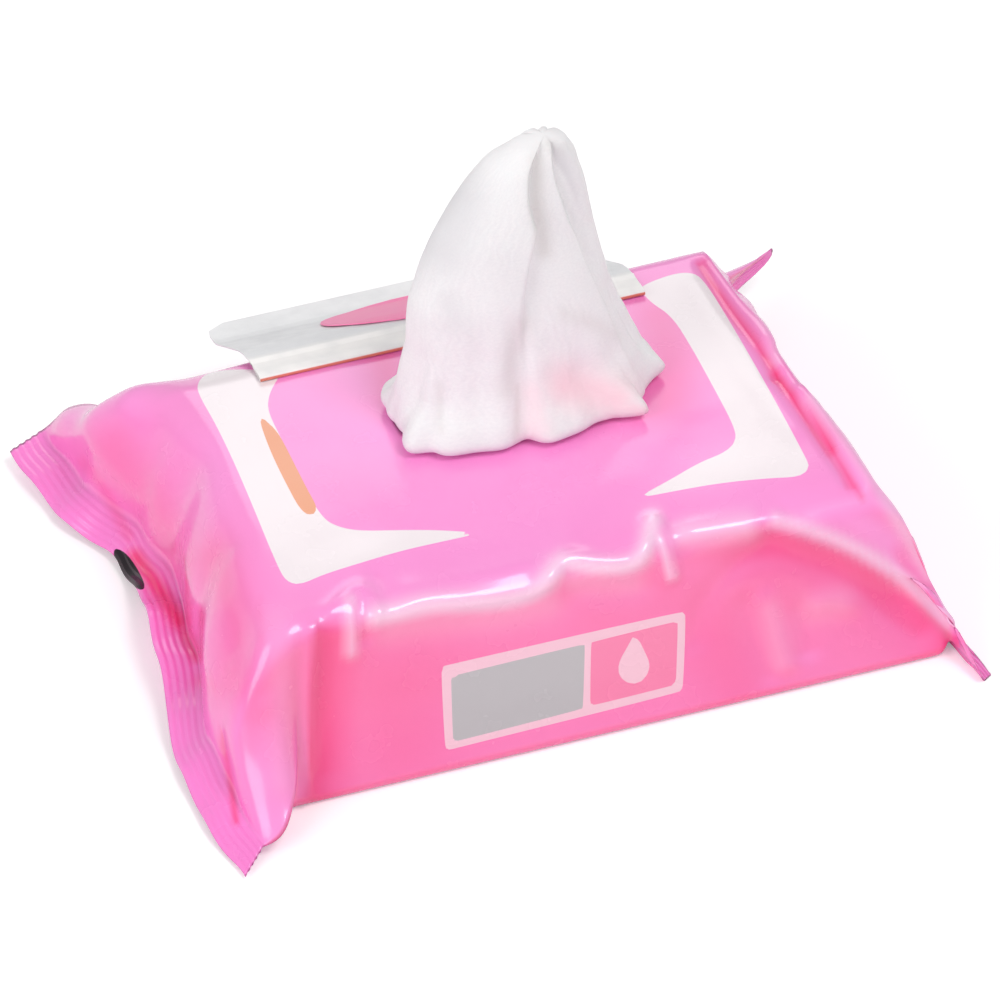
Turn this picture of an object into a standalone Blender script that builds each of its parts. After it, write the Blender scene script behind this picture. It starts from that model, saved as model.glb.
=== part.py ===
"""Pack of wet wipes, opened, with the first wipe pulled up through the mouth.

X runs along the pack, Y across it towards the hinge of the reseal label, Z up.
The origin is on the floor under the middle of the base.
"""
import math

import bmesh
import bpy
from mathutils import Vector

MM = 0.001

# Film tube between its two end seals
FILM_WALL = 0.6 * MM
BASE_HALF_WIDTH = 64.5 * MM
SHOULDER_HALF_WIDTH = 50.0 * MM
SHOULDER_HEIGHT = 45.5 * MM
CROWN_RISE = 2.0 * MM
BASE_CORNER_RADIUS = 2.5 * MM
SHOULDER_RADIUS = 8.0 * MM
SIDE_HOLLOW = 1.2 * MM
LEFT_TOP_END = 66.5 * MM
LEFT_TOP_SKEW = 1.5 * MM
LEFT_BASE_END = 74.0 * MM
RIGHT_TOP_END = 72.5 * MM
RIGHT_TOP_SKEW = 3.5 * MM
RIGHT_BASE_END = 82.0 * MM
RIGHT_BASE_SKEW = 5.0 * MM
REAR_SHOULDER_SAG = 3.0 * MM
CROWN_SEGMENTS = 12
ARC_SEGMENTS = 4
SIDE_SEGMENTS = 5
CROWN_STEPS = 24
ARC_STEPS = 12
SIDE_STEPS = 15
BODY_STATIONS = 7
END_STATIONS = 9
END_ROUND_EXPONENT = 6.0
UNDERSIDE_ROUNDING = 0.35
RIGHT_END_FLATTENING = 0.6
RIGHT_FLATTENING_START = -0.7
LEFT_EAR_LIFT = 8.5 * MM
RIGHT_EAR_LIFT = 2.0 * MM
LEFT_GUSSET_FULLNESS = 6.5 * MM
GUSSET_DROP = 0.35
GUSSET_EXPONENT = 4.0

# Hollow inside the film
HOLLOW_STATIONS = (0, 1, 2, 4, 5)
HOLLOW_END_MARGIN = 0.6 * MM
HOLLOW_MARGIN_GROWTH = 3.0
HOLLOW_EAR_REACH = 0.25

# End seals: two layers of film crimped together
SEAL_WIDTH = 9.5 * MM
SEAL_THICKNESS = 1.0 * MM
SEAL_EDGE_EXPONENT = 12.0
CRIMP_COUNT = 5
CRIMP_DEPTH = 0.35 * MM

# How far each seal's inner line lies past the end of the base, its height, and how far the seal droops
# and turns from it: each pair is a share of the way from the front corner (-1) to the rear one (1),
# and a value
LEFT_SEAL_PLACES = (
    (-1.0, 12.8 * MM), (-0.8, 14.6 * MM), (-0.55, 15.0 * MM), (-0.15, 8.5 * MM),
    (0.2, 4.8 * MM), (0.4, 7.2 * MM), (0.7, 15.0 * MM), (1.0, 18.0 * MM),
)
LEFT_SEAL_HEIGHTS = ((-1.0, 3.2 * MM), (-0.55, 8.0 * MM), (0.0, 8.5 * MM), (0.4, 9.0 * MM), (1.0, 4.8 * MM))
LEFT_SEAL_DROOPS = ((-1.0, 12.0), (-0.55, 32.0), (0.0, -18.0), (0.4, 46.0), (1.0, 22.0))
LEFT_SEAL_TURNS = ((-1.0, -44.0), (-0.6, -6.0), (0.0, 0.0), (1.0, -14.0))
RIGHT_SEAL_PLACES = ((-1.0, 6.0 * MM), (-0.5, 5.0 * MM), (0.0, 2.6 * MM), (0.5, 1.6 * MM), (1.0, 12.0 * MM))
RIGHT_SEAL_HEIGHTS = ((-1.0, 4.4 * MM), (-0.5, 10.6 * MM), (0.6, 11.0 * MM), (1.0, 12.0 * MM))
RIGHT_SEAL_DROOPS = ((-1.0, 20.0), (-0.6, 64.0), (0.9, 72.0), (1.0, 0.0))
RIGHT_SEAL_TURNS = ((-1.0, 35.0), (-0.6, 4.0), (1.0, 0.0))

# How far the front corners of the seals are drawn in towards the middle
LEFT_CORNER_TUCK = 2.7 * MM
RIGHT_CORNER_TUCK = 3.5 * MM
CORNER_TUCK_EXPONENT = 6.0

# Soft folds of the two ends
GATHER_DEPTH = 1.1 * MM
GATHER_PITCH = 27.0 * MM
LEFT_GATHER_PHASE = 0.9
RIGHT_GATHER_PHASE = 2.3

# Seal along the underside, folded flat
BACK_SEAL_WIDTH = 12.0 * MM
BACK_SEAL_GROOVE_WIDTH = 0.8 * MM
BACK_SEAL_GROOVE_DEPTH = 0.25 * MM
BACK_SEAL_GROOVE_STOP = 3.0 * MM

# Oval mouth cut in the top
MOUTH_LENGTH = 63.0 * MM
MOUTH_WIDTH = 32.0 * MM
MOUTH_X = 5.5 * MM
MOUTH_INSET = 40.0 * MM
MOUTH_Y = SHOULDER_HALF_WIDTH - MOUTH_INSET
MOUTH_EXPONENT = 2.5
MOUTH_POINTS = 40

# Reseal label, stuck along its rear strip and folded back on itself
LABEL_LENGTH = 99.0 * MM
LABEL_STUCK_WIDTH = 8.0 * MM
LABEL_THICKNESS = 0.35 * MM
LABEL_HINGE_INSET = 14.0 * MM
LABEL_HINGE_Y = SHOULDER_HALF_WIDTH - LABEL_HINGE_INSET
LABEL_FOLD_RADIUS = 0.55 * MM
LABEL_CORNER_RADIUS = 5.0 * MM
LABEL_FLAT_RUN = 9.0 * MM
LABEL_STEEP_RUN = 30.0 * MM
LABEL_END_RUN = 11.0 * MM
LABEL_STEEP_ANGLE = math.radians(35.0)
LABEL_END_ANGLE = math.radians(14.0)
LABEL_BEND_RATE = 2.5
LABEL_COLUMNS = 16

# Piece of film that the mouth was cut from, still on the label
PATCH_THICKNESS = 0.25 * MM
PATCH_TRIM = 0.6 * MM
PATCH_BANDS = 14
PATCH_COLUMNS = 10
PATCH_TIP_CUT = 0.06

# Wipes folded in half and stacked
WIPE_FLAT_WIDTH = 182.0 * MM
WIPE_LENGTH = 135.0 * MM
WIPE_LAYER = 0.42 * MM
WIPE_FOLD_GAP = 0.22 * MM
STACK_X = 3.0 * MM
WIPE_COUNT = 29
FOLD_SEGMENTS = 4

# Wipe pulled up through the mouth
PULLED_LAYER = 0.7 * MM
PULLED_POINTS = 56
PULLED_SKIRT_MARGIN = 5.0 * MM
PULLED_SKIRT_EXPONENT = 6.0
PULLED_MIDDLE_EXPONENT = 3.0
PULLED_HEIGHT = 80.0 * MM
PULLED_PEAK = (9.8 * MM, 0.5 * MM)
PULLED_RIPPLE = 0.03
PULLED_RIPPLES = 7

# Rings of the pulled wipe above the rim: share of its height, half length, half width, lean in
# X and in Y from the mouth's middle, and how deep its folds are
PULLED_RINGS = (
    (0.00, 29.3 * MM, 13.8 * MM, 0.0 * MM, 0.0 * MM, 0.06),
    (0.03, 32.0 * MM, 15.5 * MM, 0.6 * MM, -1.5 * MM, 0.15),
    (0.09, 32.0 * MM, 16.0 * MM, 1.8 * MM, -2.0 * MM, 0.40),
    (0.18, 30.0 * MM, 14.5 * MM, 1.6 * MM, -1.5 * MM, 0.65),
    (0.30, 27.0 * MM, 13.0 * MM, 0.8 * MM, -1.5 * MM, 0.85),
    (0.47, 24.5 * MM, 11.5 * MM, -0.8 * MM, -1.0 * MM, 1.00),
    (0.60, 21.5 * MM, 10.5 * MM, -0.2 * MM, -0.5 * MM, 1.00),
    (0.72, 18.5 * MM, 9.5 * MM, 1.2 * MM, 0.0 * MM, 1.00),
    (0.83, 14.5 * MM, 8.5 * MM, 3.2 * MM, 0.5 * MM, 0.90),
    (0.92, 10.0 * MM, 6.5 * MM, 5.8 * MM, 0.5 * MM, 0.70),
    (0.98, 5.0 * MM, 4.0 * MM, 8.2 * MM, 0.5 * MM, 0.40),
)

# Its three long folds: direction round the wipe, width, and depth as a share of the reach
PULLED_FOLDS = (
    (math.radians(-62.0), math.radians(17.0), 0.42),
    (math.radians(12.0), math.radians(12.0), 0.16),
    (math.radians(118.0), math.radians(20.0), 0.22),
)

# Room left between pieces that touch
TOUCH = 0.3 * MM


def clear_scene():
    for item in list(bpy.data.objects):
        bpy.data.objects.remove(item, do_unlink=True)


def new_collection(name):
    group = bpy.data.collections.new(name)
    bpy.context.scene.collection.children.link(group)
    return group


def surface(name, colour, roughness, metallic=0.0):
    material = bpy.data.materials.new(name)
    material.use_nodes = True
    shader = material.node_tree.nodes["Principled BSDF"]
    shader.inputs["Base Color"].default_value = (*colour, 1.0)
    shader.inputs["Roughness"].default_value = roughness
    shader.inputs["Metallic"].default_value = metallic
    return material


def add_object(name, mesh, group, material):
    item = bpy.data.objects.new(name, mesh)
    group.objects.link(item)
    if material is not None:
        mesh.materials.append(material)
    return item


def smooth(mesh, angle=math.radians(40.0)):
    mesh.shade_smooth()
    mesh.set_sharp_from_angle(angle=angle)


def grid_mesh(name, rows, closed):
    """Skins rows of points that all have the same count; closed rows are rings."""
    mesh = bpy.data.meshes.new(name)
    work = bmesh.new()
    grid = [[work.verts.new(point) for point in row] for row in rows]
    count = len(grid[0])
    steps = count if closed else count - 1
    for near, far in zip(grid, grid[1:]):
        for index in range(steps):
            following = (index + 1) % count
            work.faces.new((near[index], near[following], far[following], far[index]))
    return mesh, work, grid


def finish_mesh(mesh, work):
    bmesh.ops.recalc_face_normals(work, faces=work.faces)
    work.to_mesh(mesh)
    work.free()
    return mesh


def apply_modifiers(item):
    """Keeps the evaluated shape as the object's own mesh."""
    graph = bpy.context.evaluated_depsgraph_get()
    shape = bpy.data.meshes.new_from_object(item.evaluated_get(graph))
    item.modifiers.clear()
    item.data = shape
    return item


def cut(item, cutter):
    modifier = item.modifiers.new("cut " + cutter.name, "BOOLEAN")
    modifier.operation = "DIFFERENCE"
    modifier.solver = "EXACT"
    modifier.object = cutter


def as_cutter(item):
    item.hide_render = True
    item.display_type = "WIRE"
    return item


def arc(centre, radius, start, end, steps):
    points = []
    for step in range(steps + 1):
        angle = start + (end - start) * step / steps
        points.append((centre[0] + radius * math.cos(angle), centre[1] + radius * math.sin(angle)))
    return points


def section_parts():
    """Half of the tube's section in five runs, from the middle of the top to the middle of the base."""
    lean = math.atan2(BASE_HALF_WIDTH - SHOULDER_HALF_WIDTH, SHOULDER_HEIGHT)
    reach = SHOULDER_RADIUS * math.tan((math.pi / 2 - lean) / 2)
    shoulder_centre = (SHOULDER_HALF_WIDTH - reach, SHOULDER_HEIGHT - SHOULDER_RADIUS)
    corner_centre = (BASE_HALF_WIDTH - BASE_CORNER_RADIUS, BASE_CORNER_RADIUS)
    crown = []
    for step in range(CROWN_STEPS + 1):
        share = step / CROWN_STEPS
        crown.append((shoulder_centre[0] * share, SHOULDER_HEIGHT + CROWN_RISE * (1 - share * share)))
    shoulder = arc(shoulder_centre, SHOULDER_RADIUS, math.pi / 2, lean, ARC_STEPS)
    corner = arc(corner_centre, BASE_CORNER_RADIUS, lean, -math.pi / 2, ARC_STEPS)
    side = []
    for step in range(SIDE_STEPS + 1):
        share = step / SIDE_STEPS
        y, z = (a + (b - a) * share for a, b in zip(shoulder[-1], corner[0]))
        side.append((y - SIDE_HOLLOW * math.sin(math.pi * share), z))
    base = [corner[-1], (0.0, 0.0)]
    return crown, shoulder, side, corner, base


def walk(points, distance):
    """Point at a distance along a polyline."""
    left = distance
    for start, end in zip(points, points[1:]):
        step = math.dist(start, end)
        if left <= step:
            share = left / step if step else 0.0
            return tuple(a + (b - a) * share for a, b in zip(start, end))
        left -= step
    return points[-1]


def path_length(points):
    return sum(math.dist(start, end) for start, end in zip(points, points[1:]))


SECTION_PARTS = section_parts()
SECTION = [point for part in SECTION_PARTS for point in part]
SEAL_HALF_SPAN = path_length(SECTION) / 2


def spread(start, end, steps):
    return [start + (end - start) * step / steps for step in range(1, steps + 1)]


def ring_keys():
    """Each point's signed share of the half section, its film, and its share along the seal.

    The ring starts at the front ear, crosses the top and comes back under the base. The two
    films meet at the seal in pairs, at the mean of a pair's shares.
    """
    crown, shoulder, _, corner, base = (path_length(part) for part in SECTION_PARTS)
    upper = spread(0.0, crown, CROWN_SEGMENTS)
    upper += spread(crown, crown + shoulder, ARC_SEGMENTS)
    upper += spread(crown + shoulder, SEAL_HALF_SPAN, SIDE_SEGMENTS)
    lower = spread(0.0, base, CROWN_SEGMENTS)
    lower += spread(base, base + corner, ARC_SEGMENTS)
    lower += spread(base + corner, SEAL_HALF_SPAN, SIDE_SEGMENTS)
    pairs = [(high / SEAL_HALF_SPAN, low / SEAL_HALF_SPAN) for high, low in zip(upper, lower)]
    rear_top = [(high, True, (high + low) / 2) for high, low in pairs]
    rear_base = [(low, False, (high + low) / 2) for high, low in pairs[:-1]]
    front_top = [(-share, film, -along) for share, film, along in rear_top]
    front_base = [(-share, film, -along) for share, film, along in rear_base]
    middle_top = (0.0, True, 0.0)
    middle_base = (0.0, False, 0.0)
    return front_top[::-1] + [middle_top] + rear_top + rear_base[::-1] + [middle_base] + front_base


def section_point(key):
    share, on_top, _ = key
    distance = abs(share) * SEAL_HALF_SPAN
    if not on_top:
        distance = 2 * SEAL_HALF_SPAN - distance
    y, z = walk(SECTION, distance)
    return math.copysign(y, share) if share else 0.0, z


def eased(pairs, share):
    """Value at a share, eased between the pairs on either side of it."""
    for (low, start), (high, end) in zip(pairs, pairs[1:]):
        if share <= high:
            way = (share - low) / (high - low)
            return start + (end - start) * way * way * (3 - 2 * way)
    return pairs[-1][1]


def seal_height(share, side):
    return eased(LEFT_SEAL_HEIGHTS if side < 0 else RIGHT_SEAL_HEIGHTS, share)


def seal_direction(share, side):
    """Unit direction from the seal's inner line to its outer edge."""
    droop = math.radians(eased(LEFT_SEAL_DROOPS if side < 0 else RIGHT_SEAL_DROOPS, share))
    turn = math.radians(eased(LEFT_SEAL_TURNS if side < 0 else RIGHT_SEAL_TURNS, share))
    level = math.cos(droop)
    return Vector((side * level * math.cos(turn), level * math.sin(turn), -math.sin(droop)))


def seal_y(share, side):
    tuck = LEFT_CORNER_TUCK if side < 0 else RIGHT_CORNER_TUCK
    return share * SEAL_HALF_SPAN + tuck * max(-share, 0.0) ** CORNER_TUCK_EXPONENT


def base_end_x(y, side):
    """Distance from the middle at which the flat base stops."""
    return LEFT_BASE_END if side < 0 else RIGHT_BASE_END - RIGHT_BASE_SKEW * y / BASE_HALF_WIDTH


def seal_x(share, side):
    past_base = eased(LEFT_SEAL_PLACES if side < 0 else RIGHT_SEAL_PLACES, share)
    return base_end_x(seal_y(share, side), side) + past_base


def tube_end_x(y, height, side):
    """Distance from the middle at which the tube stops and its end begins."""
    lift = min(max(height / SHOULDER_HEIGHT, 0.0), 1.0)
    base = base_end_x(y, side)
    top = LEFT_TOP_END if side < 0 else RIGHT_TOP_END
    skew = LEFT_TOP_SKEW if side < 0 else RIGHT_TOP_SKEW
    return base + (top - skew * y / SHOULDER_HALF_WIDTH - base) * lift


def ramp(value, start, end):
    way = min(max((value - start) / (end - start), 0.0), 1.0)
    return way * way * (3 - 2 * way)


def settled(x, y, z):
    """Lowers the rear shoulder towards the left end, where the film has slumped."""
    across = ramp(y, SHOULDER_HALF_WIDTH - 1.5 * SHOULDER_RADIUS, SHOULDER_HALF_WIDTH)
    along = ramp(-x, 0.0, LEFT_TOP_END - LEFT_TOP_SKEW)
    return x, y, z - REAR_SHOULDER_SAG * across * along * max(z, 0.0) / SHOULDER_HEIGHT


def gather(share, progress, side):
    """Soft radiating folds where the wide tube is gathered down to the seal."""
    swell = math.sin(math.pi * progress) ** 2
    phase = 2 * math.pi * share * SEAL_HALF_SPAN / GATHER_PITCH
    phase += LEFT_GATHER_PHASE if side < 0 else RIGHT_GATHER_PHASE
    return GATHER_DEPTH * swell * math.sin(phase) * (1 - share ** 4)


def layer_offset(key):
    """Half the seal's thickness, towards the key's own film, closing at the two corners."""
    _, on_top, share = key
    half = SEAL_THICKNESS / 2 * (1 - abs(share) ** SEAL_EDGE_EXPONENT)
    return half if on_top else -half


def end_point(key, progress, side):
    """Point between the tube and the seal, at a share of the way out to the seal."""
    share, on_top, along = key
    y, z = section_point(key)
    seal_z = seal_height(along, side) + layer_offset(key)
    rounding = (1 - abs(share) ** END_ROUND_EXPONENT) * (1 if on_top else UNDERSIDE_ROUNDING)
    if side > 0:
        rounding *= 1 - RIGHT_END_FLATTENING * ramp(share, RIGHT_FLATTENING_START, 0.0)
    quarter = progress * math.pi / 2
    outward = (1 - rounding) * progress + rounding * math.sin(quarter)
    inward = (1 - rounding) * progress + rounding * (1 - math.cos(quarter))
    start = tube_end_x(y, z, side)
    x = start + (seal_x(along, side) - start) * outward
    fold = gather(share, progress, side) if on_top else 0.0
    low = settled(side * start, y, z)[2]
    lift = LEFT_EAR_LIFT if side < 0 else RIGHT_EAR_LIFT
    ear = lift * max(share, 0.0) ** 3 * math.sin(math.pi * progress)
    full = 0.0
    if side < 0:
        full = LEFT_GUSSET_FULLNESS * max(-share, 0.0) ** GUSSET_EXPONENT * math.sin(math.pi * progress)
    across = y + (seal_y(along, side) - y) * inward - full
    height = low + (seal_z - low) * inward + fold / 2 + ear
    return side * (x + fold), across, height - min(GUSSET_DROP * full, max(height, 0.0) / 2)


def seal_point(key, step, side):
    """Point on the crimped seal; step counts half crimps outwards."""
    share = key[2]
    out = step / (2 * CRIMP_COUNT)
    direction = seal_direction(share, side)
    normal = Vector((0.0, 1.0, 0.0)).cross(direction) * -side
    crimp = CRIMP_DEPTH / 2 if step % 2 else -CRIMP_DEPTH / 2
    start = Vector((side * seal_x(share, side), seal_y(share, side), seal_height(share, side)))
    return tuple(start + direction * (SEAL_WIDTH * out) + normal.normalized() * (layer_offset(key) + crimp))


def tube_rows(keys):
    """Rings from the left seal's inner line to the right seal's inner line."""
    rows = []
    for step in range(END_STATIONS, 0, -1):
        rows.append([end_point(key, step / END_STATIONS, -1) for key in keys])
    for step in range(BODY_STATIONS):
        along = -1 + 2 * step / (BODY_STATIONS - 1)
        row = []
        for key in keys:
            y, z = section_point(key)
            left = tube_end_x(y, z, -1)
            right = tube_end_x(y, z, 1)
            row.append(settled((right - left) / 2 + along * (right + left) / 2, y, z))
        rows.append(row)
    for step in range(1, END_STATIONS + 1):
        rows.append([end_point(key, step / END_STATIONS, 1) for key in keys])
    return rows


def hollow_ring(keys, progress, side):
    """Ring of the film's inner face: the outer ring, each pair of films moved in by the wall."""
    ring = [Vector(end_point(key, progress, side)) for key in keys]
    wall = FILM_WALL + HOLLOW_END_MARGIN * min(1.0, HOLLOW_MARGIN_GROWTH * progress)
    half = len(ring) // 2
    for index in range(1, half):
        across = ring[-index] - ring[index]
        move = across.normalized() * min(wall, across.length / 3)
        ring[index] += move
        ring[-index] -= move
    for point, (share, _, _) in zip(ring, keys):
        point.x -= side * FILM_WALL * (1 - abs(share))
        point.y *= 1 - wall / BASE_HALF_WIDTH
    for ear, step in ((0, 1), (half, -1)):
        near = (ring[ear + step] + ring[ear - step]) / 2
        far = (ring[ear + 2 * step] + ring[ear - 2 * step]) / 2
        ring[ear] = near + (near - far) * HOLLOW_EAR_REACH
    return ring


def close_end(work, ring, flip):
    """Closes the flat ring at the outer edge of a seal with a strip of faces."""
    half = len(ring) // 2
    for index in range(half):
        corners = [ring[index], ring[index + 1], ring[-index - 1], ring[-index]]
        if index == 0:
            corners = [ring[0], ring[1], ring[-1]]
        elif index == half - 1:
            corners = [ring[index], ring[half], ring[-index]]
        if flip:
            corners.reverse()
        work.faces.new(corners)


def film_outside():
    keys = ring_keys()
    rows = []
    for step in range(2 * CRIMP_COUNT, 0, -1):
        rows.append([seal_point(key, step, -1) for key in keys])
    rows += tube_rows(keys)
    for step in range(1, 2 * CRIMP_COUNT + 1):
        rows.append([seal_point(key, step, 1) for key in keys])
    mesh, work, grid = grid_mesh("film outside", rows, True)
    close_end(work, grid[0], False)
    close_end(work, grid[-1], True)
    return finish_mesh(mesh, work)


def film_inside():
    keys = ring_keys()
    shares = [station / END_STATIONS for station in HOLLOW_STATIONS]
    rows = [hollow_ring(keys, share, -1) for share in reversed(shares)]
    rows += [hollow_ring(keys, share, 1) for share in shares]
    mesh, work, grid = grid_mesh("film inside", rows, True)
    close_end(work, grid[0], False)
    close_end(work, grid[-1], True)
    return finish_mesh(mesh, work)


def oval(length, width, exponent, points):
    outline = []
    for step in range(points):
        angle = 2 * math.pi * step / points
        c, s = math.cos(angle), math.sin(angle)
        x = math.copysign(abs(c) ** (2 / exponent), c) * length / 2
        y = math.copysign(abs(s) ** (2 / exponent), s) * width / 2
        outline.append((x, y))
    return outline


def prism(name, outline, low, high):
    rows = [[(x, y, z) for x, y in outline] for z in (low, high)]
    mesh, work, grid = grid_mesh(name, rows, True)
    work.faces.new(grid[0])
    work.faces.new(grid[-1])
    return finish_mesh(mesh, work)


def box_mesh(name, size, centre):
    mesh = bpy.data.meshes.new(name)
    work = bmesh.new()
    bmesh.ops.create_cube(work, size=1.0)
    bmesh.ops.scale(work, vec=Vector(size), verts=work.verts)
    bmesh.ops.translate(work, vec=Vector(centre), verts=work.verts)
    work.to_mesh(mesh)
    work.free()
    return mesh


def make_film(group, cutters, material):
    film = add_object("pack_film", film_outside(), group, material)
    hollow = as_cutter(add_object("film_hollow", film_inside(), cutters, None))
    outline = oval(MOUTH_LENGTH, MOUTH_WIDTH, MOUTH_EXPONENT, MOUTH_POINTS)
    outline = [(x + MOUTH_X, y + MOUTH_Y) for x, y in outline]
    mouth_mesh = prism("mouth", outline, SHOULDER_HEIGHT / 2, SHOULDER_HEIGHT + 2 * CROWN_RISE)
    mouth = as_cutter(add_object("mouth_cut", mouth_mesh, cutters, None))
    cut(film, hollow)
    cut(film, mouth)
    for side in (-1, 1):
        run = LEFT_BASE_END + RIGHT_BASE_END - 2 * BACK_SEAL_GROOVE_STOP
        size = (run, BACK_SEAL_GROOVE_WIDTH, 2 * BACK_SEAL_GROOVE_DEPTH)
        across = side * (BACK_SEAL_WIDTH + BACK_SEAL_GROOVE_WIDTH) / 2
        centre = ((RIGHT_BASE_END - LEFT_BASE_END) / 2, across, 0.0)
        name = "back_seal_groove_" + ("rear" if side > 0 else "front")
        groove = as_cutter(add_object(name, box_mesh(name, size, centre), cutters, None))
        cut(film, groove)
    apply_modifiers(film)
    smooth(film.data)
    return film


def top_height(y):
    """Height of the film's outer face over the flat part of the top."""
    flat = SHOULDER_HALF_WIDTH - SHOULDER_RADIUS * math.tan(math.pi / 4)
    return SHOULDER_HEIGHT + CROWN_RISE * (1 - (y / flat) ** 2)


def label_profile():
    """Middle line of the label in Y and Z, from its stuck edge to its free edge."""
    half = LABEL_THICKNESS / 2
    strip_z = top_height(LABEL_HINGE_Y) + TOUCH + half
    points = [(LABEL_HINGE_Y + LABEL_STUCK_WIDTH, strip_z), (LABEL_HINGE_Y + LABEL_STUCK_WIDTH / 2, strip_z)]
    centre = (LABEL_HINGE_Y, strip_z + LABEL_FOLD_RADIUS)
    points += arc(centre, LABEL_FOLD_RADIUS, -math.pi / 2, -3 * math.pi / 2, 6)
    y, z = points[-1]
    angle = 0.0
    for run, target, steps in (
        (LABEL_FLAT_RUN, -LABEL_STEEP_ANGLE / 3, 4),
        (LABEL_STEEP_RUN, -LABEL_STEEP_ANGLE, 8),
        (LABEL_END_RUN, -LABEL_END_ANGLE, 4),
    ):
        first = angle
        for step in range(1, steps + 1):
            bend = min(1.0, LABEL_BEND_RATE * step / steps)
            angle = first + (target - first) * bend
            y += run / steps * math.cos(angle)
            z += run / steps * math.sin(angle)
            points.append((y, z))
    return points


def label_free_length():
    return LABEL_FLAT_RUN + LABEL_STEEP_RUN + LABEL_END_RUN


def label_rows():
    """Rows across the label; the free corners are rounded."""
    profile = label_profile()
    length = path_length(profile)
    rows = []
    travelled = 0.0
    for index, (y, z) in enumerate(profile):
        if index:
            travelled += math.dist(profile[index - 1], profile[index])
        left = length - travelled
        half = LABEL_LENGTH / 2
        if left < LABEL_CORNER_RADIUS:
            drop = LABEL_CORNER_RADIUS - left
            half -= LABEL_CORNER_RADIUS - math.sqrt(LABEL_CORNER_RADIUS ** 2 - drop ** 2)
        rows.append([(half * (2 * step / LABEL_COLUMNS - 1), y, z) for step in range(LABEL_COLUMNS + 1)])
    return rows


def make_label(group, material):
    mesh, work, _ = grid_mesh("reseal_label", label_rows(), False)
    finish_mesh(mesh, work)
    label = add_object("reseal_label", mesh, group, material)
    thick = label.modifiers.new("thickness", "SOLIDIFY")
    thick.thickness = LABEL_THICKNESS
    thick.offset = 0.0
    smooth(mesh)
    return label


def on_label(distance, lift):
    """Point in Y and Z above the label's upper face, at a distance back from the hinge."""
    profile = label_profile()
    start = path_length(profile) - label_free_length()
    y, z = walk(profile, start + distance)
    ahead = walk(profile, start + distance + MM)
    dy, dz = ahead[0] - y, ahead[1] - z
    size = math.hypot(dy, dz)
    rise = LABEL_THICKNESS / 2 + lift
    return y - dz / size * rise, z + dy / size * rise


def make_patch(group, material):
    """Oval of film, mirrored in the hinge from the mouth that it closed."""
    lift = TOUCH + PATCH_THICKNESS / 2
    middle = LABEL_HINGE_Y - MOUTH_Y
    half_width = MOUTH_WIDTH / 2 - PATCH_TRIM
    half_length = MOUTH_LENGTH / 2 - PATCH_TRIM
    rows = []
    for band in range(PATCH_BANDS + 1):
        across = -math.cos(math.pi * (PATCH_TIP_CUT + (1 - 2 * PATCH_TIP_CUT) * band / PATCH_BANDS))
        reach = half_length * (1 - abs(across) ** MOUTH_EXPONENT) ** (1 / MOUTH_EXPONENT)
        y, z = on_label(middle + across * half_width, lift)
        places = [2 * step / PATCH_COLUMNS - 1 for step in range(PATCH_COLUMNS + 1)]
        rows.append([(MOUTH_X + reach * place, y, z) for place in places])
    mesh, work, _ = grid_mesh("die_cut_patch", rows, False)
    finish_mesh(mesh, work)
    patch = add_object("die_cut_patch", mesh, group, material)
    thick = patch.modifiers.new("thickness", "SOLIDIFY")
    thick.thickness = PATCH_THICKNESS
    thick.offset = 0.0
    smooth(mesh)
    return patch


def folded_thickness():
    return 2 * WIPE_LAYER + WIPE_FOLD_GAP


def stack_floor():
    return FILM_WALL + TOUCH


def stack_top():
    return stack_floor() + WIPE_COUNT * (folded_thickness() + TOUCH) - TOUCH


def make_folded_wipe(number, group, material):
    """One wipe folded in half; the folds face front and rear in turn."""
    facing = 1 if number % 2 else -1
    low = stack_floor() + number * (folded_thickness() + TOUCH)
    bend = (WIPE_LAYER + WIPE_FOLD_GAP) / 2
    middle = low + folded_thickness() / 2
    outer = WIPE_FLAT_WIDTH / 4 - WIPE_LAYER / 2
    profile = [(-outer, middle - bend)]
    profile += arc((outer - bend, middle), bend, -math.pi / 2, math.pi / 2, FOLD_SEGMENTS)
    profile.append((-outer, middle + bend))
    half = WIPE_LENGTH / 2
    rows = [[(x, facing * y, z) for x in (STACK_X - half, STACK_X + half)] for y, z in profile]
    name = f"folded_wipe_{number + 1:02d}"
    mesh, work, _ = grid_mesh(name, rows, False)
    finish_mesh(mesh, work)
    wipe = add_object(name, mesh, group, material)
    thick = wipe.modifiers.new("thickness", "SOLIDIFY")
    thick.thickness = WIPE_LAYER
    thick.offset = 0.0
    return wipe


def pleat(angle, direction, width, depth):
    """Narrow inward fold round one direction."""
    away = math.remainder(angle - direction, 2 * math.pi) / width
    return -depth * math.exp(-away * away)


def pulled_ring(height, half_length, half_width, centre, folding):
    """Ring of the pulled wipe, drawn in at its long folds."""
    ring = []
    for step in range(PULLED_POINTS):
        angle = 2 * math.pi * step / PULLED_POINTS
        reach = 1.0 + folding * PULLED_RIPPLE * math.cos(PULLED_RIPPLES * angle)
        for direction, width, depth in PULLED_FOLDS:
            reach += folding * pleat(angle, direction, width, depth)
        x = centre[0] + half_length * reach * math.cos(angle)
        y = centre[1] + half_width * reach * math.sin(angle)
        ring.append((x, y, height))
    return ring


def skirt_ring(height, half_length, half_width, centre_x, centre_y, exponent):
    """Ring inside the pack, between the folded wipes and the film."""
    ring = []
    for step in range(PULLED_POINTS):
        angle = 2 * math.pi * step / PULLED_POINTS
        c, s = math.cos(angle), math.sin(angle)
        x = centre_x + half_length * math.copysign(abs(c) ** (2 / exponent), c)
        y = centre_y + half_width * math.copysign(abs(s) ** (2 / exponent), s)
        ring.append((x, y, height))
    return ring


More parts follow.
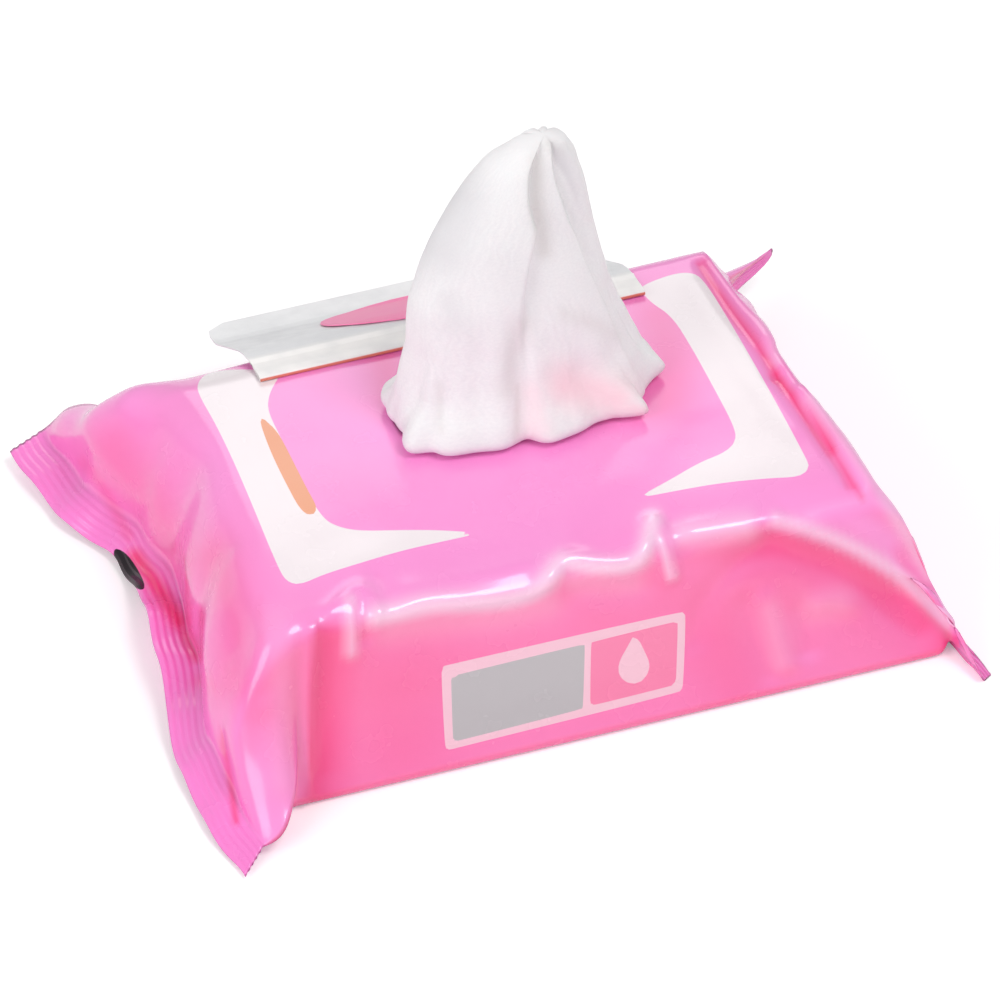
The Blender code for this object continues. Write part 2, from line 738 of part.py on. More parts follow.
def make_pulled_wipe(group, material):
    lay = stack_top() + TOUCH + PULLED_LAYER / 2
    rim = SHOULDER_HEIGHT + CROWN_RISE
    room = FILM_WALL + TOUCH + PULLED_LAYER
    mouth_x = MOUTH_LENGTH / 2 - room
    mouth_y = MOUTH_WIDTH / 2 - room
    skirt_x = WIPE_LENGTH / 2 - PULLED_SKIRT_MARGIN
    skirt_y = WIPE_FLAT_WIDTH / 4 - PULLED_SKIRT_MARGIN
    middle = ((skirt_x + mouth_x) / 2, (skirt_y + mouth_y) / 2, (STACK_X + MOUTH_X) / 2, MOUTH_Y / 2)
    rows = [
        skirt_ring(lay, skirt_x, skirt_y, STACK_X, 0.0, PULLED_SKIRT_EXPONENT),
        skirt_ring(lay, *middle, PULLED_MIDDLE_EXPONENT),
        skirt_ring(lay + PULLED_LAYER, mouth_x, mouth_y, MOUTH_X, MOUTH_Y, MOUTH_EXPONENT),
    ]
    for share, length, width, lean_x, lean_y, folding in PULLED_RINGS:
        centre = (MOUTH_X + lean_x, MOUTH_Y + lean_y)
        rows.append(pulled_ring(rim + share * PULLED_HEIGHT, length, width, centre, folding))
    mesh, work, grid = grid_mesh("dispensed_wipe", rows, True)
    peak = work.verts.new((MOUTH_X + PULLED_PEAK[0], MOUTH_Y + PULLED_PEAK[1], rim + PULLED_HEIGHT))
    last = grid[-1]
    for index, corner in enumerate(last):
        work.faces.new((corner, last[(index + 1) % len(last)], peak))
    finish_mesh(mesh, work)
    wipe = add_object("dispensed_wipe", mesh, group, material)
    thick = wipe.modifiers.new("thickness", "SOLIDIFY")
    thick.thickness = PULLED_LAYER
    thick.offset = 0.0
    smooth(mesh, math.radians(60.0))
    return wipe


def build():
    clear_scene()
    pack = new_collection("wet_wipes_pack")
    cutters = new_collection("cutters")
    film_pink = surface("film pink", (0.95, 0.30, 0.60), 0.22)
    label_white = surface("label white", (0.86, 0.86, 0.85), 0.45)
    patch_pink = surface("patch pink", (0.90, 0.33, 0.52), 0.35)
    wipe_white = surface("wipe white", (0.90, 0.88, 0.89), 0.95)
    make_film(pack, cutters, film_pink)
    make_label(pack, label_white)
    make_patch(pack, patch_pink)
    make_pulled_wipe(pack, wipe_white)
    for number in range(WIPE_COUNT):
        make_folded_wipe(number, pack, wipe_white)


build()
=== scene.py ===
import math

import bmesh
import bpy
import numpy as np
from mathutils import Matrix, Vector, noise
from mathutils.bvhtree import BVHTree


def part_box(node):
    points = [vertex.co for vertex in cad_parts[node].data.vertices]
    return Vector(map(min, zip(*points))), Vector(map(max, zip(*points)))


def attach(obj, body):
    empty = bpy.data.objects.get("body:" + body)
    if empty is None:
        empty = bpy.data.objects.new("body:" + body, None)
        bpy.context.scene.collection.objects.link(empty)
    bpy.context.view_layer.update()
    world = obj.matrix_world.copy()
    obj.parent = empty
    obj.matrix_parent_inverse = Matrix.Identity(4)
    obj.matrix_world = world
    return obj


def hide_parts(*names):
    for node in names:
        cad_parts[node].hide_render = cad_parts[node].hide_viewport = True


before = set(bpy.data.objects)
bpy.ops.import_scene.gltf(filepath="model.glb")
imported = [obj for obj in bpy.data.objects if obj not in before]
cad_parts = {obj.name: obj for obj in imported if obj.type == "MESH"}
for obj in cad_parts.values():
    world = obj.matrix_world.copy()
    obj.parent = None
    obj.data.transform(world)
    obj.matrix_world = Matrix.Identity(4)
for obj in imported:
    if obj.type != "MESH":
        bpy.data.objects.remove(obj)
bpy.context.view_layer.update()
mm = 0.001
print("frame loaded")


# camera: fitted to the photograph, which is 1000 pixels wide and high
cameraSet = {
    "azimuth": -19.2,
    "elevation": 41.4,
    "distance": 3.12,
    "target": (-0.37 * mm, 0.0, 23.76 * mm),
    "sensor": 36.0,
    "focalPixels": 12868.0,
    "imageSize": 1000.0,
}

azimuth = math.radians(cameraSet["azimuth"])
elevation = math.radians(cameraSet["elevation"])
towardsCamera = Vector((
    math.sin(azimuth) * math.cos(elevation),
    -math.cos(azimuth) * math.cos(elevation),
    math.sin(elevation),
))
cameraRight = Vector((math.cos(azimuth), math.sin(azimuth), 0.0))
cameraUp = towardsCamera.cross(cameraRight)
cameraPlace = Vector(cameraSet["target"]) + towardsCamera * cameraSet["distance"]

bpy.ops.object.select_all(action="DESELECT")
bpy.ops.object.camera_add(location=cameraPlace, rotation=towardsCamera.to_track_quat("Z", "Y").to_euler())
camera = bpy.context.object
camera.name = "camera"
camera.data.sensor_width = cameraSet["sensor"]
camera.data.lens = cameraSet["focalPixels"] / cameraSet["imageSize"] * cameraSet["sensor"]
camera.data.clip_end = 20.0
bpy.context.scene.camera = camera


def photoPoint(u, v):
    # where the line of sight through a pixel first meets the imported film
    middle = cameraSet["imageSize"] / 2
    ray = -towardsCamera * cameraSet["focalPixels"] + cameraRight * (u - middle) + cameraUp * (middle - v)
    hit = filmSkin.ray_cast(cameraPlace, ray.normalized())[0]
    return hit


def toPixels(points):
    # pixel of the photograph for each row of an array of points
    away = points - np.array(cameraPlace)
    depth = -(away @ np.array(towardsCamera))
    middle = cameraSet["imageSize"] / 2
    across = middle + cameraSet["focalPixels"] * (away @ np.array(cameraRight)) / depth
    down = middle - cameraSet["focalPixels"] * (away @ np.array(cameraUp)) / depth
    return np.stack([across, down], axis=-1)


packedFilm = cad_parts["pack_film"].data
packedFilm.calc_loop_triangles()
filmSkin = BVHTree.FromPolygons(
    [vertex.co.copy() for vertex in packedFilm.vertices],
    [tuple(face.vertices) for face in packedFilm.polygons],
)


# stage: a pale floor, level light from all round, and soft lamps for the gloss
stageSet = {
    "floorSize": 8.0,
    "floorColour": (0.93, 0.93, 0.93),
    "floorLift": 0.24,
    "worldStrength": 0.5,
    "keyPower": 11.5,
    "keySize": 0.8,
    "keyFrom": (0.46, -0.74, 1.66),
    "fillPower": 17.0,
    "fillSize": 1.6,
    "fillFrom": (-1.7, -0.7, 1.1),
    "backPower": 5.0,
    "backSize": 1.2,
    "backFrom": (0.6, 1.9, 1.4),
}


def newMaterial(name):
    material = bpy.data.materials.new(name)
    material.use_nodes = True
    material.node_tree.nodes.clear()
    return material, material.node_tree.nodes, material.node_tree.links


def addLamp(name, place, power, size):
    bpy.ops.object.light_add(type="AREA", location=place)
    lamp = bpy.context.object
    lamp.name = name
    lamp.data.shape = "DISK"
    lamp.data.size = size
    lamp.data.energy = power
    aim = Vector(place) - Vector(cameraSet["target"])
    lamp.rotation_euler = aim.to_track_quat("Z", "Y").to_euler()
    return lamp


def seenDirectly(nodes):
    # 1 for what the camera sees
    return nodes.new("ShaderNodeLightPath").outputs["Is Camera Ray"]


def makeStage():
    bpy.ops.object.select_all(action="DESELECT")
    bpy.ops.mesh.primitive_plane_add(size=stageSet["floorSize"], location=(0, 0, 0))
    floor = bpy.context.object
    floor.name = "floor"
    material, nodes, links = newMaterial("paleFloor")
    out = nodes.new("ShaderNodeOutputMaterial")
    paper = nodes.new("ShaderNodeBsdfDiffuse")
    paper.inputs["Color"].default_value = (*stageSet["floorColour"], 1)
    glow = nodes.new("ShaderNodeEmission")
    lift = nodes.new("ShaderNodeMath")
    lift.operation = "MULTIPLY"
    lift.inputs[1].default_value = stageSet["floorLift"]
    links.new(seenDirectly(nodes), lift.inputs[0])
    links.new(lift.outputs[0], glow.inputs["Strength"])
    both = nodes.new("ShaderNodeAddShader")
    links.new(paper.outputs[0], both.inputs[0])
    links.new(glow.outputs[0], both.inputs[1])
    links.new(both.outputs[0], out.inputs["Surface"])
    floor.data.materials.append(material)

    world = bpy.data.worlds.new("studio")
    bpy.context.scene.world = world
    world.use_nodes = True
    nodes, links = world.node_tree.nodes, world.node_tree.links
    nodes.clear()
    out = nodes.new("ShaderNodeOutputWorld")
    soft = nodes.new("ShaderNodeBackground")
    soft.inputs["Strength"].default_value = stageSet["worldStrength"]
    white = nodes.new("ShaderNodeBackground")
    mix = nodes.new("ShaderNodeMixShader")
    white.inputs["Color"].default_value = (1, 1, 1, 1)
    soft.inputs["Color"].default_value = (1, 1, 1, 1)
    links.new(seenDirectly(nodes), mix.inputs["Fac"])
    links.new(soft.outputs[0], mix.inputs[1])
    links.new(white.outputs[0], mix.inputs[2])
    links.new(mix.outputs[0], out.inputs["Surface"])

    addLamp("keyLamp", stageSet["keyFrom"], stageSet["keyPower"], stageSet["keySize"])
    addLamp("fillLamp", stageSet["fillFrom"], stageSet["fillPower"], stageSet["fillSize"])
    addLamp("backLamp", stageSet["backFrom"], stageSet["backPower"], stageSet["backSize"])
    bpy.context.scene.view_settings.view_transform = "Standard"


makeStage()
print("stage and camera made")


# film: the tube, its gathered ends and its crimped seals, with the places that the solid has
filmSet = {
    "wall": 0.22 * mm,
    "baseHalf": 64.5 * mm,
    "shoulderHalf": 50.0 * mm,
    "shoulderHeight": 45.5 * mm,
    "crownRise": 2.0 * mm,
    "baseCorner": 2.5 * mm,
    "shoulderRadius": 8.0 * mm,
    "sideHollow": 1.2 * mm,
    "rearSag": 3.0 * mm,
    "crownCells": 34,
    "arcCells": 8,
    "sideCells": 20,
    "bodyRows": 90,
    "endRows": 22,
    "endRound": 6.0,
    "underRound": 0.35,
    "gussetDrop": 0.35,
    "tuckExponent": 6.0,
    "sealWidth": 9.5 * mm,
    "sealThickness": 0.55 * mm,
    "crimps": 5,
    "crimpSteps": 4,
    "crimpDepth": 0.4 * mm,
    "gatherDepth": 0.5 * mm,
    "gatherPitch": 27.0 * mm,
}

# the two ends: where the tube stops, and the seal's inner line, droop and turn from front (-1) to rear (1)
endSet = {
    -1: {
        "top": 66.5 * mm,
        "skew": 1.5 * mm,
        "base": 74.0 * mm,
        "baseSkew": 0.0,
        "earLift": 8.5 * mm,
        "gusset": 6.5 * mm,
        "flattened": 0.0,
        "lateTurn": 0.0,
        "pulledTip": 0.0,
        "tuck": 2.7 * mm,
        "phase": 0.9,
        "places": ((-1.0, 12.8), (-0.8, 14.6), (-0.55, 15.0), (-0.15, 8.5), (0.2, 4.8), (0.4, 7.2), (0.7, 15.0),
                   (1.0, 18.0)),
        "heights": ((-1.0, 3.2), (-0.55, 8.0), (0.0, 8.5), (0.4, 9.0), (1.0, 6.6)),
        "droops": ((-1.0, 12.0), (-0.55, 32.0), (0.0, -18.0), (0.4, 46.0), (1.0, 14.0)),
        "turns": ((-1.0, -44.0), (-0.6, -6.0), (0.0, 0.0), (1.0, -14.0)),
    },
    1: {
        "top": 72.5 * mm,
        "skew": 3.5 * mm,
        "base": 82.0 * mm,
        "baseSkew": 5.0 * mm,
        "earLift": 2.0 * mm,
        "gusset": 0.0,
        "flattened": 0.6,
        "lateTurn": 4.0,
        "pulledTip": -0.9,
        "tuck": 3.5 * mm,
        "phase": 2.3,
        "places": ((-1.0, 8.0), (-0.5, 5.0), (0.0, 2.6), (0.5, 1.6), (0.82, 3.0), (1.03, 24.6)),
        "heights": ((-1.0, 3.0), (-0.72, 2.2), (-0.4, 9.5), (0.6, 11.0), (0.86, 15.5), (1.0, 12.0)),
        "droops": ((-1.0, 62.0), (-0.6, 66.0), (1.0, 76.0)),
        "turns": ((-1.0, 35.0), (-0.6, 4.0), (1.0, 0.0)),
    },
}

# oval mouth
mouthSet = {
    "length": 59.0 * mm,
    "width": 30.0 * mm,
    "x": 5.5 * mm,
    "y": 10.0 * mm,
    "exponent": 2.5,
}

# folds and dents of the film, along lines that the photograph shows: pixels, width and depth
# a depth above zero stands out, one below zero goes in
filmFolds = [
    # crest of the front shoulder, which wanders
    {"line": ((330, 612), (345, 596), (357, 586), (367, 590), (376, 615)), "width": 1.7, "depth": 0.9},
    {"line": ((376, 615), (392, 614), (424, 600), (465, 600), (500, 596), (530, 592), (552, 577)),
     "width": 2.0, "depth": 1.1},
    {"line": ((546, 580), (564, 557), (580, 557), (606, 563), (634, 562), (646, 545)), "width": 1.9, "depth": 1.1},
    {"line": ((640, 560), (647, 535), (653, 514), (661, 540), (672, 577)), "width": 1.6, "depth": 1.0},
    {"line": ((684, 533), (710, 529), (745, 525), (776, 518)), "width": 2.4, "depth": 0.8},
    # hollows under that crest
    {"line": ((392, 636), (450, 626), (520, 618), (560, 606)), "width": 6.0, "depth": -0.7},
    {"line": ((580, 588), (610, 592), (640, 588)), "width": 4.0, "depth": -0.6},
    {"line": ((690, 560), (730, 556), (760, 552)), "width": 5.0, "depth": -0.6},
    {"line": ((366, 606), (364, 640)), "width": 1.8, "depth": -0.8},
    {"line": ((350, 604), (351, 652)), "width": 2.0, "depth": 0.7},
    {"line": ((377, 574), (388, 594)), "width": 2.6, "depth": -0.6},
    {"line": ((590, 545), (625, 545)), "width": 3.4, "depth": -0.4},
    {"line": ((672, 520), (684, 548)), "width": 2.4, "depth": -0.6},
    # fold from the shoulder down to the front right corner, and the softer shoulder behind it
    {"line": ((776, 520), (804, 527), (854, 546), (904, 576), (949, 622)), "width": 2.0, "depth": 1.3},
    {"line": ((776, 545), (830, 560), (880, 590), (925, 628)), "width": 4.6, "depth": -1.3},
    {"line": ((786, 508), (830, 498), (872, 490)), "width": 5.5, "depth": -0.7},
    {"line": ((774, 530), (740, 562), (704, 596), (694, 640)), "width": 3.2, "depth": -0.5},
    # dents in the front face
    {"line": ((764, 600), (772, 630), (786, 664)), "width": 2.6, "depth": 0.7},
    {"line": ((748, 606), (757, 640), (770, 672)), "width": 3.4, "depth": -0.6},
    {"line": ((802, 612), (808, 650)), "width": 2.8, "depth": -0.7},
    {"line": ((812, 606), (830, 600), (850, 606)), "width": 2.6, "depth": 0.5},
    # upright edge at the front left, and the flat on either side of it
    {"line": ((312, 628), (309, 680), (307, 745), (304, 798)), "width": 1.5, "depth": 1.4},
    {"line": ((328, 648), (325, 700), (322, 770)), "width": 4.6, "depth": -1.1},
    {"line": ((286, 640), (280, 720), (283, 780)), "width": 4.6, "depth": 0.5},
    # left slope: the deep pocket by the seal and soft folds that run down to it
    {"line": ((236, 666), (257, 690), (268, 640), (257, 590), (238, 556)), "width": 3.0, "depth": 0.5},
    {"line": ((222, 590), (238, 630), (240, 670)), "width": 5.0, "depth": -0.9},
    {"line": ((205, 662), (222, 694), (262, 706)), "width": 2.8, "depth": 0.4},
    {"line": ((160, 520), (190, 575), (206, 640)), "width": 4.5, "depth": 0.6},
    {"line": ((134, 556), (154, 582), (171, 614), (196, 657)), "width": 2.4, "depth": -1.5},
    {"line": ((60, 452), (88, 470), (112, 505), (134, 552)), "width": 3.0, "depth": -0.9},
    {"line": ((100, 440), (124, 476), (146, 520)), "width": 4.5, "depth": 0.7},
    {"line": ((66, 432), (84, 425), (106, 420), (132, 406)), "width": 6.5, "depth": 2.8},
    {"line": ((152, 440), (180, 480), (196, 520)), "width": 6.5, "depth": -0.4},
    {"line": ((176, 430), (206, 470), (232, 530)), "width": 5.0, "depth": 0.25},
    {"line": ((221, 736), (229, 770), (236, 821)), "width": 1.7, "depth": -1.1},
    {"line": ((235, 740), (246, 790), (256, 830)), "width": 3.4, "depth": 0.5},
    {"line": ((198, 700), (214, 748)), "width": 2.8, "depth": 0.5},
    # right end: crease between the top and the end, and the swollen film beyond it
    {"line": ((701, 263), (727, 308), (760, 347), (775, 374)), "width": 1.6, "depth": -1.3},
    {"line": ((776, 376), (800, 408), (832, 452), (852, 482)), "width": 1.6, "depth": -1.5},
    {"line": ((690, 285), (715, 325), (745, 372), (790, 430)), "width": 3.0, "depth": 0.4},
    {"line": ((730, 280), (748, 308), (766, 340)), "width": 2.6, "depth": 1.5},
    {"line": ((800, 392), (835, 430), (868, 480)), "width": 2.6, "depth": 1.3},
    # the top: long and very shallow
    {"line": ((380, 480), (520, 500), (640, 470)), "width": 14.0, "depth": 0.3},
    {"line": ((560, 530), (640, 500), (700, 440)), "width": 8.0, "depth": -0.25},
    {"line": ((400, 570), (470, 566), (530, 552)), "width": 6.0, "depth": -0.45},
]

# soft folds of the sides that the photograph doesn't show, in millimetres: from, to, width and depth
hiddenFolds = [
    {"line": ((-60, 56, 36), (-30, 60, 18), (-8, 61, 12)), "width": 4.0, "depth": -0.9},
    {"line": ((-40, 50, 42), (-5, 52, 38), (30, 50, 42)), "width": 3.0, "depth": 0.6},
    {"line": ((20, 55, 36), (38, 59, 20), (60, 61, 8)), "width": 3.6, "depth": -0.9},
    {"line": ((68, 54, 36), (60, 60, 18), (66, 63, 6)), "width": 3.0, "depth": 0.8},
    {"line": ((-72, 56, 30), (-66, 61, 14)), "width": 3.0, "depth": 0.8},
    {"line": ((-20, 62, 8), (10, 58, 26), (30, 56, 34)), "width": 3.2, "depth": 0.5},
    {"line": ((86, -54, 20), (87, -46, 28), (86, -34, 33)), "width": 9.0, "depth": -2.6},
    {"line": ((84, -20, 22), (79, -5, 32), (76, 0, 40)), "width": 3.4, "depth": -0.6},
    {"line": ((84, 30, 18), (78, 24, 32), (73, 20, 42)), "width": 3.4, "depth": -0.8},
    {"line": ((86, 5, 14), (80, 10, 28)), "width": 3.0, "depth": 0.7},
]


def arcPoints(centre, radius, start, end, steps):
    turns = [start + (end - start) * step / steps for step in range(steps + 1)]
    return [(centre[0] + radius * math.cos(turn), centre[1] + radius * math.sin(turn)) for turn in turns]


def sectionRuns():
    # half of the tube's section, from the middle of the top to the middle of the base
    s = filmSet
    lean = math.atan2(s["baseHalf"] - s["shoulderHalf"], s["shoulderHeight"])
    reach = s["shoulderRadius"] * math.tan((math.pi / 2 - lean) / 2)
    shoulderCentre = (s["shoulderHalf"] - reach, s["shoulderHeight"] - s["shoulderRadius"])
    crown = []
    for step in range(25):
        share = step / 24
        crown.append((shoulderCentre[0] * share, s["shoulderHeight"] + s["crownRise"] * (1 - share * share)))
    shoulder = arcPoints(shoulderCentre, s["shoulderRadius"], math.pi / 2, lean, 12)
    cornerCentre = (s["baseHalf"] - s["baseCorner"], s["baseCorner"])
    corner = arcPoints(cornerCentre, s["baseCorner"], lean, -math.pi / 2, 12)
    side = []
    for step in range(16):
        share = step / 15
        y, z = (a + (b - a) * share for a, b in zip(shoulder[-1], corner[0]))
        side.append((y - s["sideHollow"] * math.sin(math.pi * share), z))
    return crown, shoulder, side, corner, [corner[-1], (0.0, 0.0)]


def runLength(points):
    return sum(math.dist(a, b) for a, b in zip(points, points[1:]))


sectionRunsHere = sectionRuns()
sectionLine = np.array([point for run in sectionRunsHere for point in run])
sectionSteps = np.concatenate([[0.0], np.cumsum(np.linalg.norm(np.diff(sectionLine, axis=0), axis=1))])
sealHalfSpan = sectionSteps[-1] / 2


def spread(start, end, cells):
    return [start + (end - start) * step / cells for step in range(1, cells + 1)]


def ringShares():
    # for each point of a ring: signed share of the half section, 1 on the top film, share along the seal
    crown, shoulder, _, corner, base = (runLength(run) for run in sectionRunsHere)
    upper = spread(0.0, crown, filmSet["crownCells"])
    upper += spread(crown, crown + shoulder, filmSet["arcCells"])
    upper += spread(crown + shoulder, sealHalfSpan, filmSet["sideCells"])
    lower = spread(0.0, base, filmSet["crownCells"])
    lower += spread(base, base + corner, filmSet["arcCells"])
    lower += spread(base + corner, sealHalfSpan, filmSet["sideCells"])
    pairs = [(high / sealHalfSpan, low / sealHalfSpan) for high, low in zip(upper, lower)]
    rearTop = [(high, 1, (high + low) / 2) for high, low in pairs]
    rearBase = [(low, 0, (high + low) / 2) for high, low in pairs[:-1]]
    frontTop = [(-share, top, -along) for share, top, along in rearTop]
    frontBase = [(-share, top, -along) for share, top, along in rearBase]
    return np.array(frontTop[::-1] + [(0, 1, 0)] + rearTop + rearBase[::-1] + [(0, 0, 0)] + frontBase, float)


ring = ringShares()
share, onTop, along = ring[:, 0], ring[:, 1] > 0.5, ring[:, 2]
travelled = np.where(onTop, np.abs(share) * sealHalfSpan, (2 - np.abs(share)) * sealHalfSpan)
sectionY = np.sign(share) * np.interp(travelled, sectionSteps, sectionLine[:, 0])
sectionZ = np.interp(travelled, sectionSteps, sectionLine[:, 1])


def easedAlong(pairs, shares):
    # values at the shares, eased between the pairs on either side
    found = np.full(len(shares), float(pairs[-1][1]))
    for (low, start), (high, end) in reversed(list(zip(pairs, pairs[1:]))):
        way = np.clip((shares - low) / (high - low), 0, 1)
        found = np.where(shares <= high, start + (end - start) * way * way * (3 - 2 * way), found)
    return found


def rampUp(value, start, end):
    way = np.clip((value - start) / (end - start), 0, 1)
    return way * way * (3 - 2 * way)


def baseEnd(side, y):
    return endSet[side]["base"] - endSet[side]["baseSkew"] * y / filmSet["baseHalf"]


def tubeEnd(side):
    lift = np.clip(sectionZ / filmSet["shoulderHeight"], 0, 1)
    end, base = endSet[side], baseEnd(side, sectionY)
    return base + (end["top"] - end["skew"] * sectionY / filmSet["shoulderHalf"] - base) * lift


def sealY(side):
    return along * sealHalfSpan + endSet[side]["tuck"] * np.maximum(-along, 0) ** filmSet["tuckExponent"]


def sealX(side):
    return baseEnd(side, sealY(side)) + easedAlong(endSet[side]["places"], along) * mm


def settledZ(x, y, z):
    # the rear shoulder has slumped towards the left end
    across = rampUp(y, filmSet["shoulderHalf"] - 1.5 * filmSet["shoulderRadius"], filmSet["shoulderHalf"])
    alongPack = rampUp(-x, 0.0, endSet[-1]["top"] - endSet[-1]["skew"])
    return z - filmSet["rearSag"] * across * alongPack * np.maximum(z, 0) / filmSet["shoulderHeight"]


def layerOffset():
    half = filmSet["sealThickness"] / 2 * (1 - np.abs(along) ** 12)
    return np.where(onTop, half, -half)


def endRow(progress, side):
    # ring between the tube and the seal, at a share of the way out
    end = endSet[side]
    sealZ = easedAlong(end["heights"], along) * mm + layerOffset()
    rounding = (1 - np.abs(share) ** filmSet["endRound"]) * np.where(onTop, 1, filmSet["underRound"])
    rounding *= 1 - end["flattened"] * rampUp(share, -0.7, 0.0)
    quarter = progress * math.pi / 2
    outward = (1 - rounding) * progress + rounding * math.sin(quarter)
    inward = (1 - rounding) * progress + rounding * (1 - math.cos(quarter))
    low = 1 - rampUp(sectionZ, 10 * mm, 24 * mm)
    inward = inward ** (1 + end["lateTurn"] * rampUp(-along, 0.35, 0.65) * low)
    start = tubeEnd(side)
    x = start + (sealX(side) - start) * outward
    phase = 2 * math.pi * share * sealHalfSpan / filmSet["gatherPitch"] + end["phase"]
    swell = math.sin(math.pi * progress) ** 2
    fold = np.where(onTop, filmSet["gatherDepth"] * swell * np.sin(phase) * (1 - share ** 4), 0)
    settled = settledZ(side * start, sectionY, sectionZ)
    ear = end["earLift"] * np.maximum(share, 0) ** 3 * math.sin(math.pi * progress)
    full = end["gusset"] * np.maximum(-share, 0) ** 4 * math.sin(math.pi * progress)
    y = sectionY + (sealY(side) - sectionY) * inward - full
    z = settled + (sealZ - settled) * inward + fold / 2 + ear
    z -= np.minimum(filmSet["gussetDrop"] * full, np.maximum(z, 0) / 2)
    return np.stack([side * (x + fold), y, z], axis=1)


def sealRow(step, side):
    # ring on the crimped seal; its ribs run along the seal
    end = endSet[side]
    steps = filmSet["crimps"] * filmSet["crimpSteps"]
    droop = np.radians(easedAlong(end["droops"], along))
    turn = np.radians(easedAlong(end["turns"], along))
    level = np.cos(droop)
    direction = np.stack([side * level * np.cos(turn), level * np.sin(turn), -np.sin(droop)], axis=1)
    normal = np.cross(np.array([0.0, 1.0, 0.0]), direction) * -side
    normal /= np.linalg.norm(normal, axis=1)[:, None]
    rib = filmSet["crimpDepth"] / 2 * math.sin(2 * math.pi * (step - 0.5) / filmSet["crimpSteps"])
    heights = easedAlong(end["heights"], along) * mm
    start = np.stack([side * sealX(side), sealY(side), heights], axis=1)
    reach = filmSet["sealWidth"] * (1 + end["pulledTip"] * np.clip((along - 0.84) / 0.16, 0, 1)) * step / steps
    return start + direction * reach[:, None] + normal * (layerOffset() + rib)[:, None]


def filmRows():
    rows = []
    sealSteps = filmSet["crimps"] * filmSet["crimpSteps"]
    for step in range(sealSteps, 0, -1):
        rows.append(sealRow(step, -1))
    for step in range(filmSet["endRows"], 0, -1):
        rows.append(endRow(step / filmSet["endRows"], -1))
    left, right = tubeEnd(-1), tubeEnd(1)
    for step in range(filmSet["bodyRows"] + 1):
        x = -left + (left + right) * step / filmSet["bodyRows"]
        rows.append(np.stack([x, sectionY, settledZ(x, sectionY, sectionZ)], axis=1))
    for step in range(1, filmSet["endRows"] + 1):
        rows.append(endRow(step / filmSet["endRows"], 1))
    for step in range(1, sealSteps + 1):
        rows.append(sealRow(step, 1))
    return np.array(rows)


def gridNormals(grid):
    around = np.roll(grid, -1, axis=1) - np.roll(grid, 1, axis=1)
    lengthwise = np.gradient(grid, axis=0)
    normals = np.cross(around, lengthwise)
    sizes = np.linalg.norm(normals, axis=2)[..., None]
    return normals / np.maximum(sizes, 1e-12)


def distanceToLine(points, line):
    # shortest distance of each point from a line of straight runs
    nearest = np.full(points.shape[:-1], 1e9)
    for a, b in zip(line, line[1:]):
        a, b = np.array(a), np.array(b)
        run = b - a
        way = np.clip(((points - a) @ run) / max(run @ run, 1e-18), 0, 1)
        gap = np.linalg.norm(points - (a + way[..., None] * run), axis=-1)
        nearest = np.minimum(nearest, gap)
    return nearest


def smoothLine(points, rounds=2):
    for _ in range(rounds):
        finer = [points[0]]
        for a, b in zip(points, points[1:]):
            a, b = np.array(a, float), np.array(b, float)
            finer += [a * 0.75 + b * 0.25, a * 0.25 + b * 0.75]
        finer.append(points[-1])
        points = finer
    return [np.array(point, float) for point in points]


def crinkle(points, cell, seed):
    shift = Vector((seed * 13.7, seed * 7.3, seed * 3.1))
    return np.array([noise.noise(Vector(point) / cell + shift) for point in points])


def foldedOffset(grid):
    # how far each point of the film moves along its normal
    offset = np.zeros(grid.shape[:2])
    for fold in filmFolds:
        found = [photoPoint(u, v) for u, v in fold["line"]]
        line = smoothLine([np.array(point) for point in found if point is not None])
        if len(line) < 2:
            continue
        gap = distanceToLine(grid, line)
        offset += fold["depth"] * mm * np.exp(-(gap / (fold["width"] * mm)) ** 2)
    for fold in hiddenFolds:
        line = smoothLine([np.array(point) * mm for point in fold["line"]])
        gap = distanceToLine(grid, line)
        offset += fold["depth"] * mm * np.exp(-(gap / (fold["width"] * mm)) ** 2)
    flat = grid.reshape(-1, 3)
    soft = crinkle(flat, 24 * mm, 1) * 0.3 + crinkle(flat, 8 * mm, 2) * 0.07
    offset += soft.reshape(offset.shape) * mm
    # flat where it lies on the floor; makeFilm calms the seals
    resting = rampUp(grid[..., 2], 0.3 * mm, 4.0 * mm)
    return offset * resting


def signedDistance(pixels, outline):
    # pixels inside an outline are above zero; the size is the distance to its edge
    inside = np.zeros(pixels.shape[:-1], bool)
    nearest = np.full(pixels.shape[:-1], 1e9)
    count = len(outline)
    for index in range(count):
        a, b = outline[index], outline[(index + 1) % count]
        run = b - a
        way = np.clip(((pixels - a) @ run) / max(run @ run, 1e-12), 0, 1)
        nearest = np.minimum(nearest, np.linalg.norm(pixels - (a + way[..., None] * run), axis=-1))
        crosses = (a[1] > pixels[..., 1]) != (b[1] > pixels[..., 1])
        rise = b[1] - a[1] if abs(b[1] - a[1]) > 1e-9 else 1e-9
        reach = a[0] + (pixels[..., 1] - a[1]) / rise * (b[0] - a[0])
        inside ^= crosses & (pixels[..., 0] < reach)
    return np.where(inside, nearest, -nearest)


def roundedOutline(corners, rounds=3):
    points = [np.array(corner, float) for corner in corners]
    for _ in range(rounds):
        finer = []
        for a, b in zip(points, points[1:] + points[:1]):
            finer += [a * 0.75 + b * 0.25, a * 0.25 + b * 0.75]
        points = finer
    return points
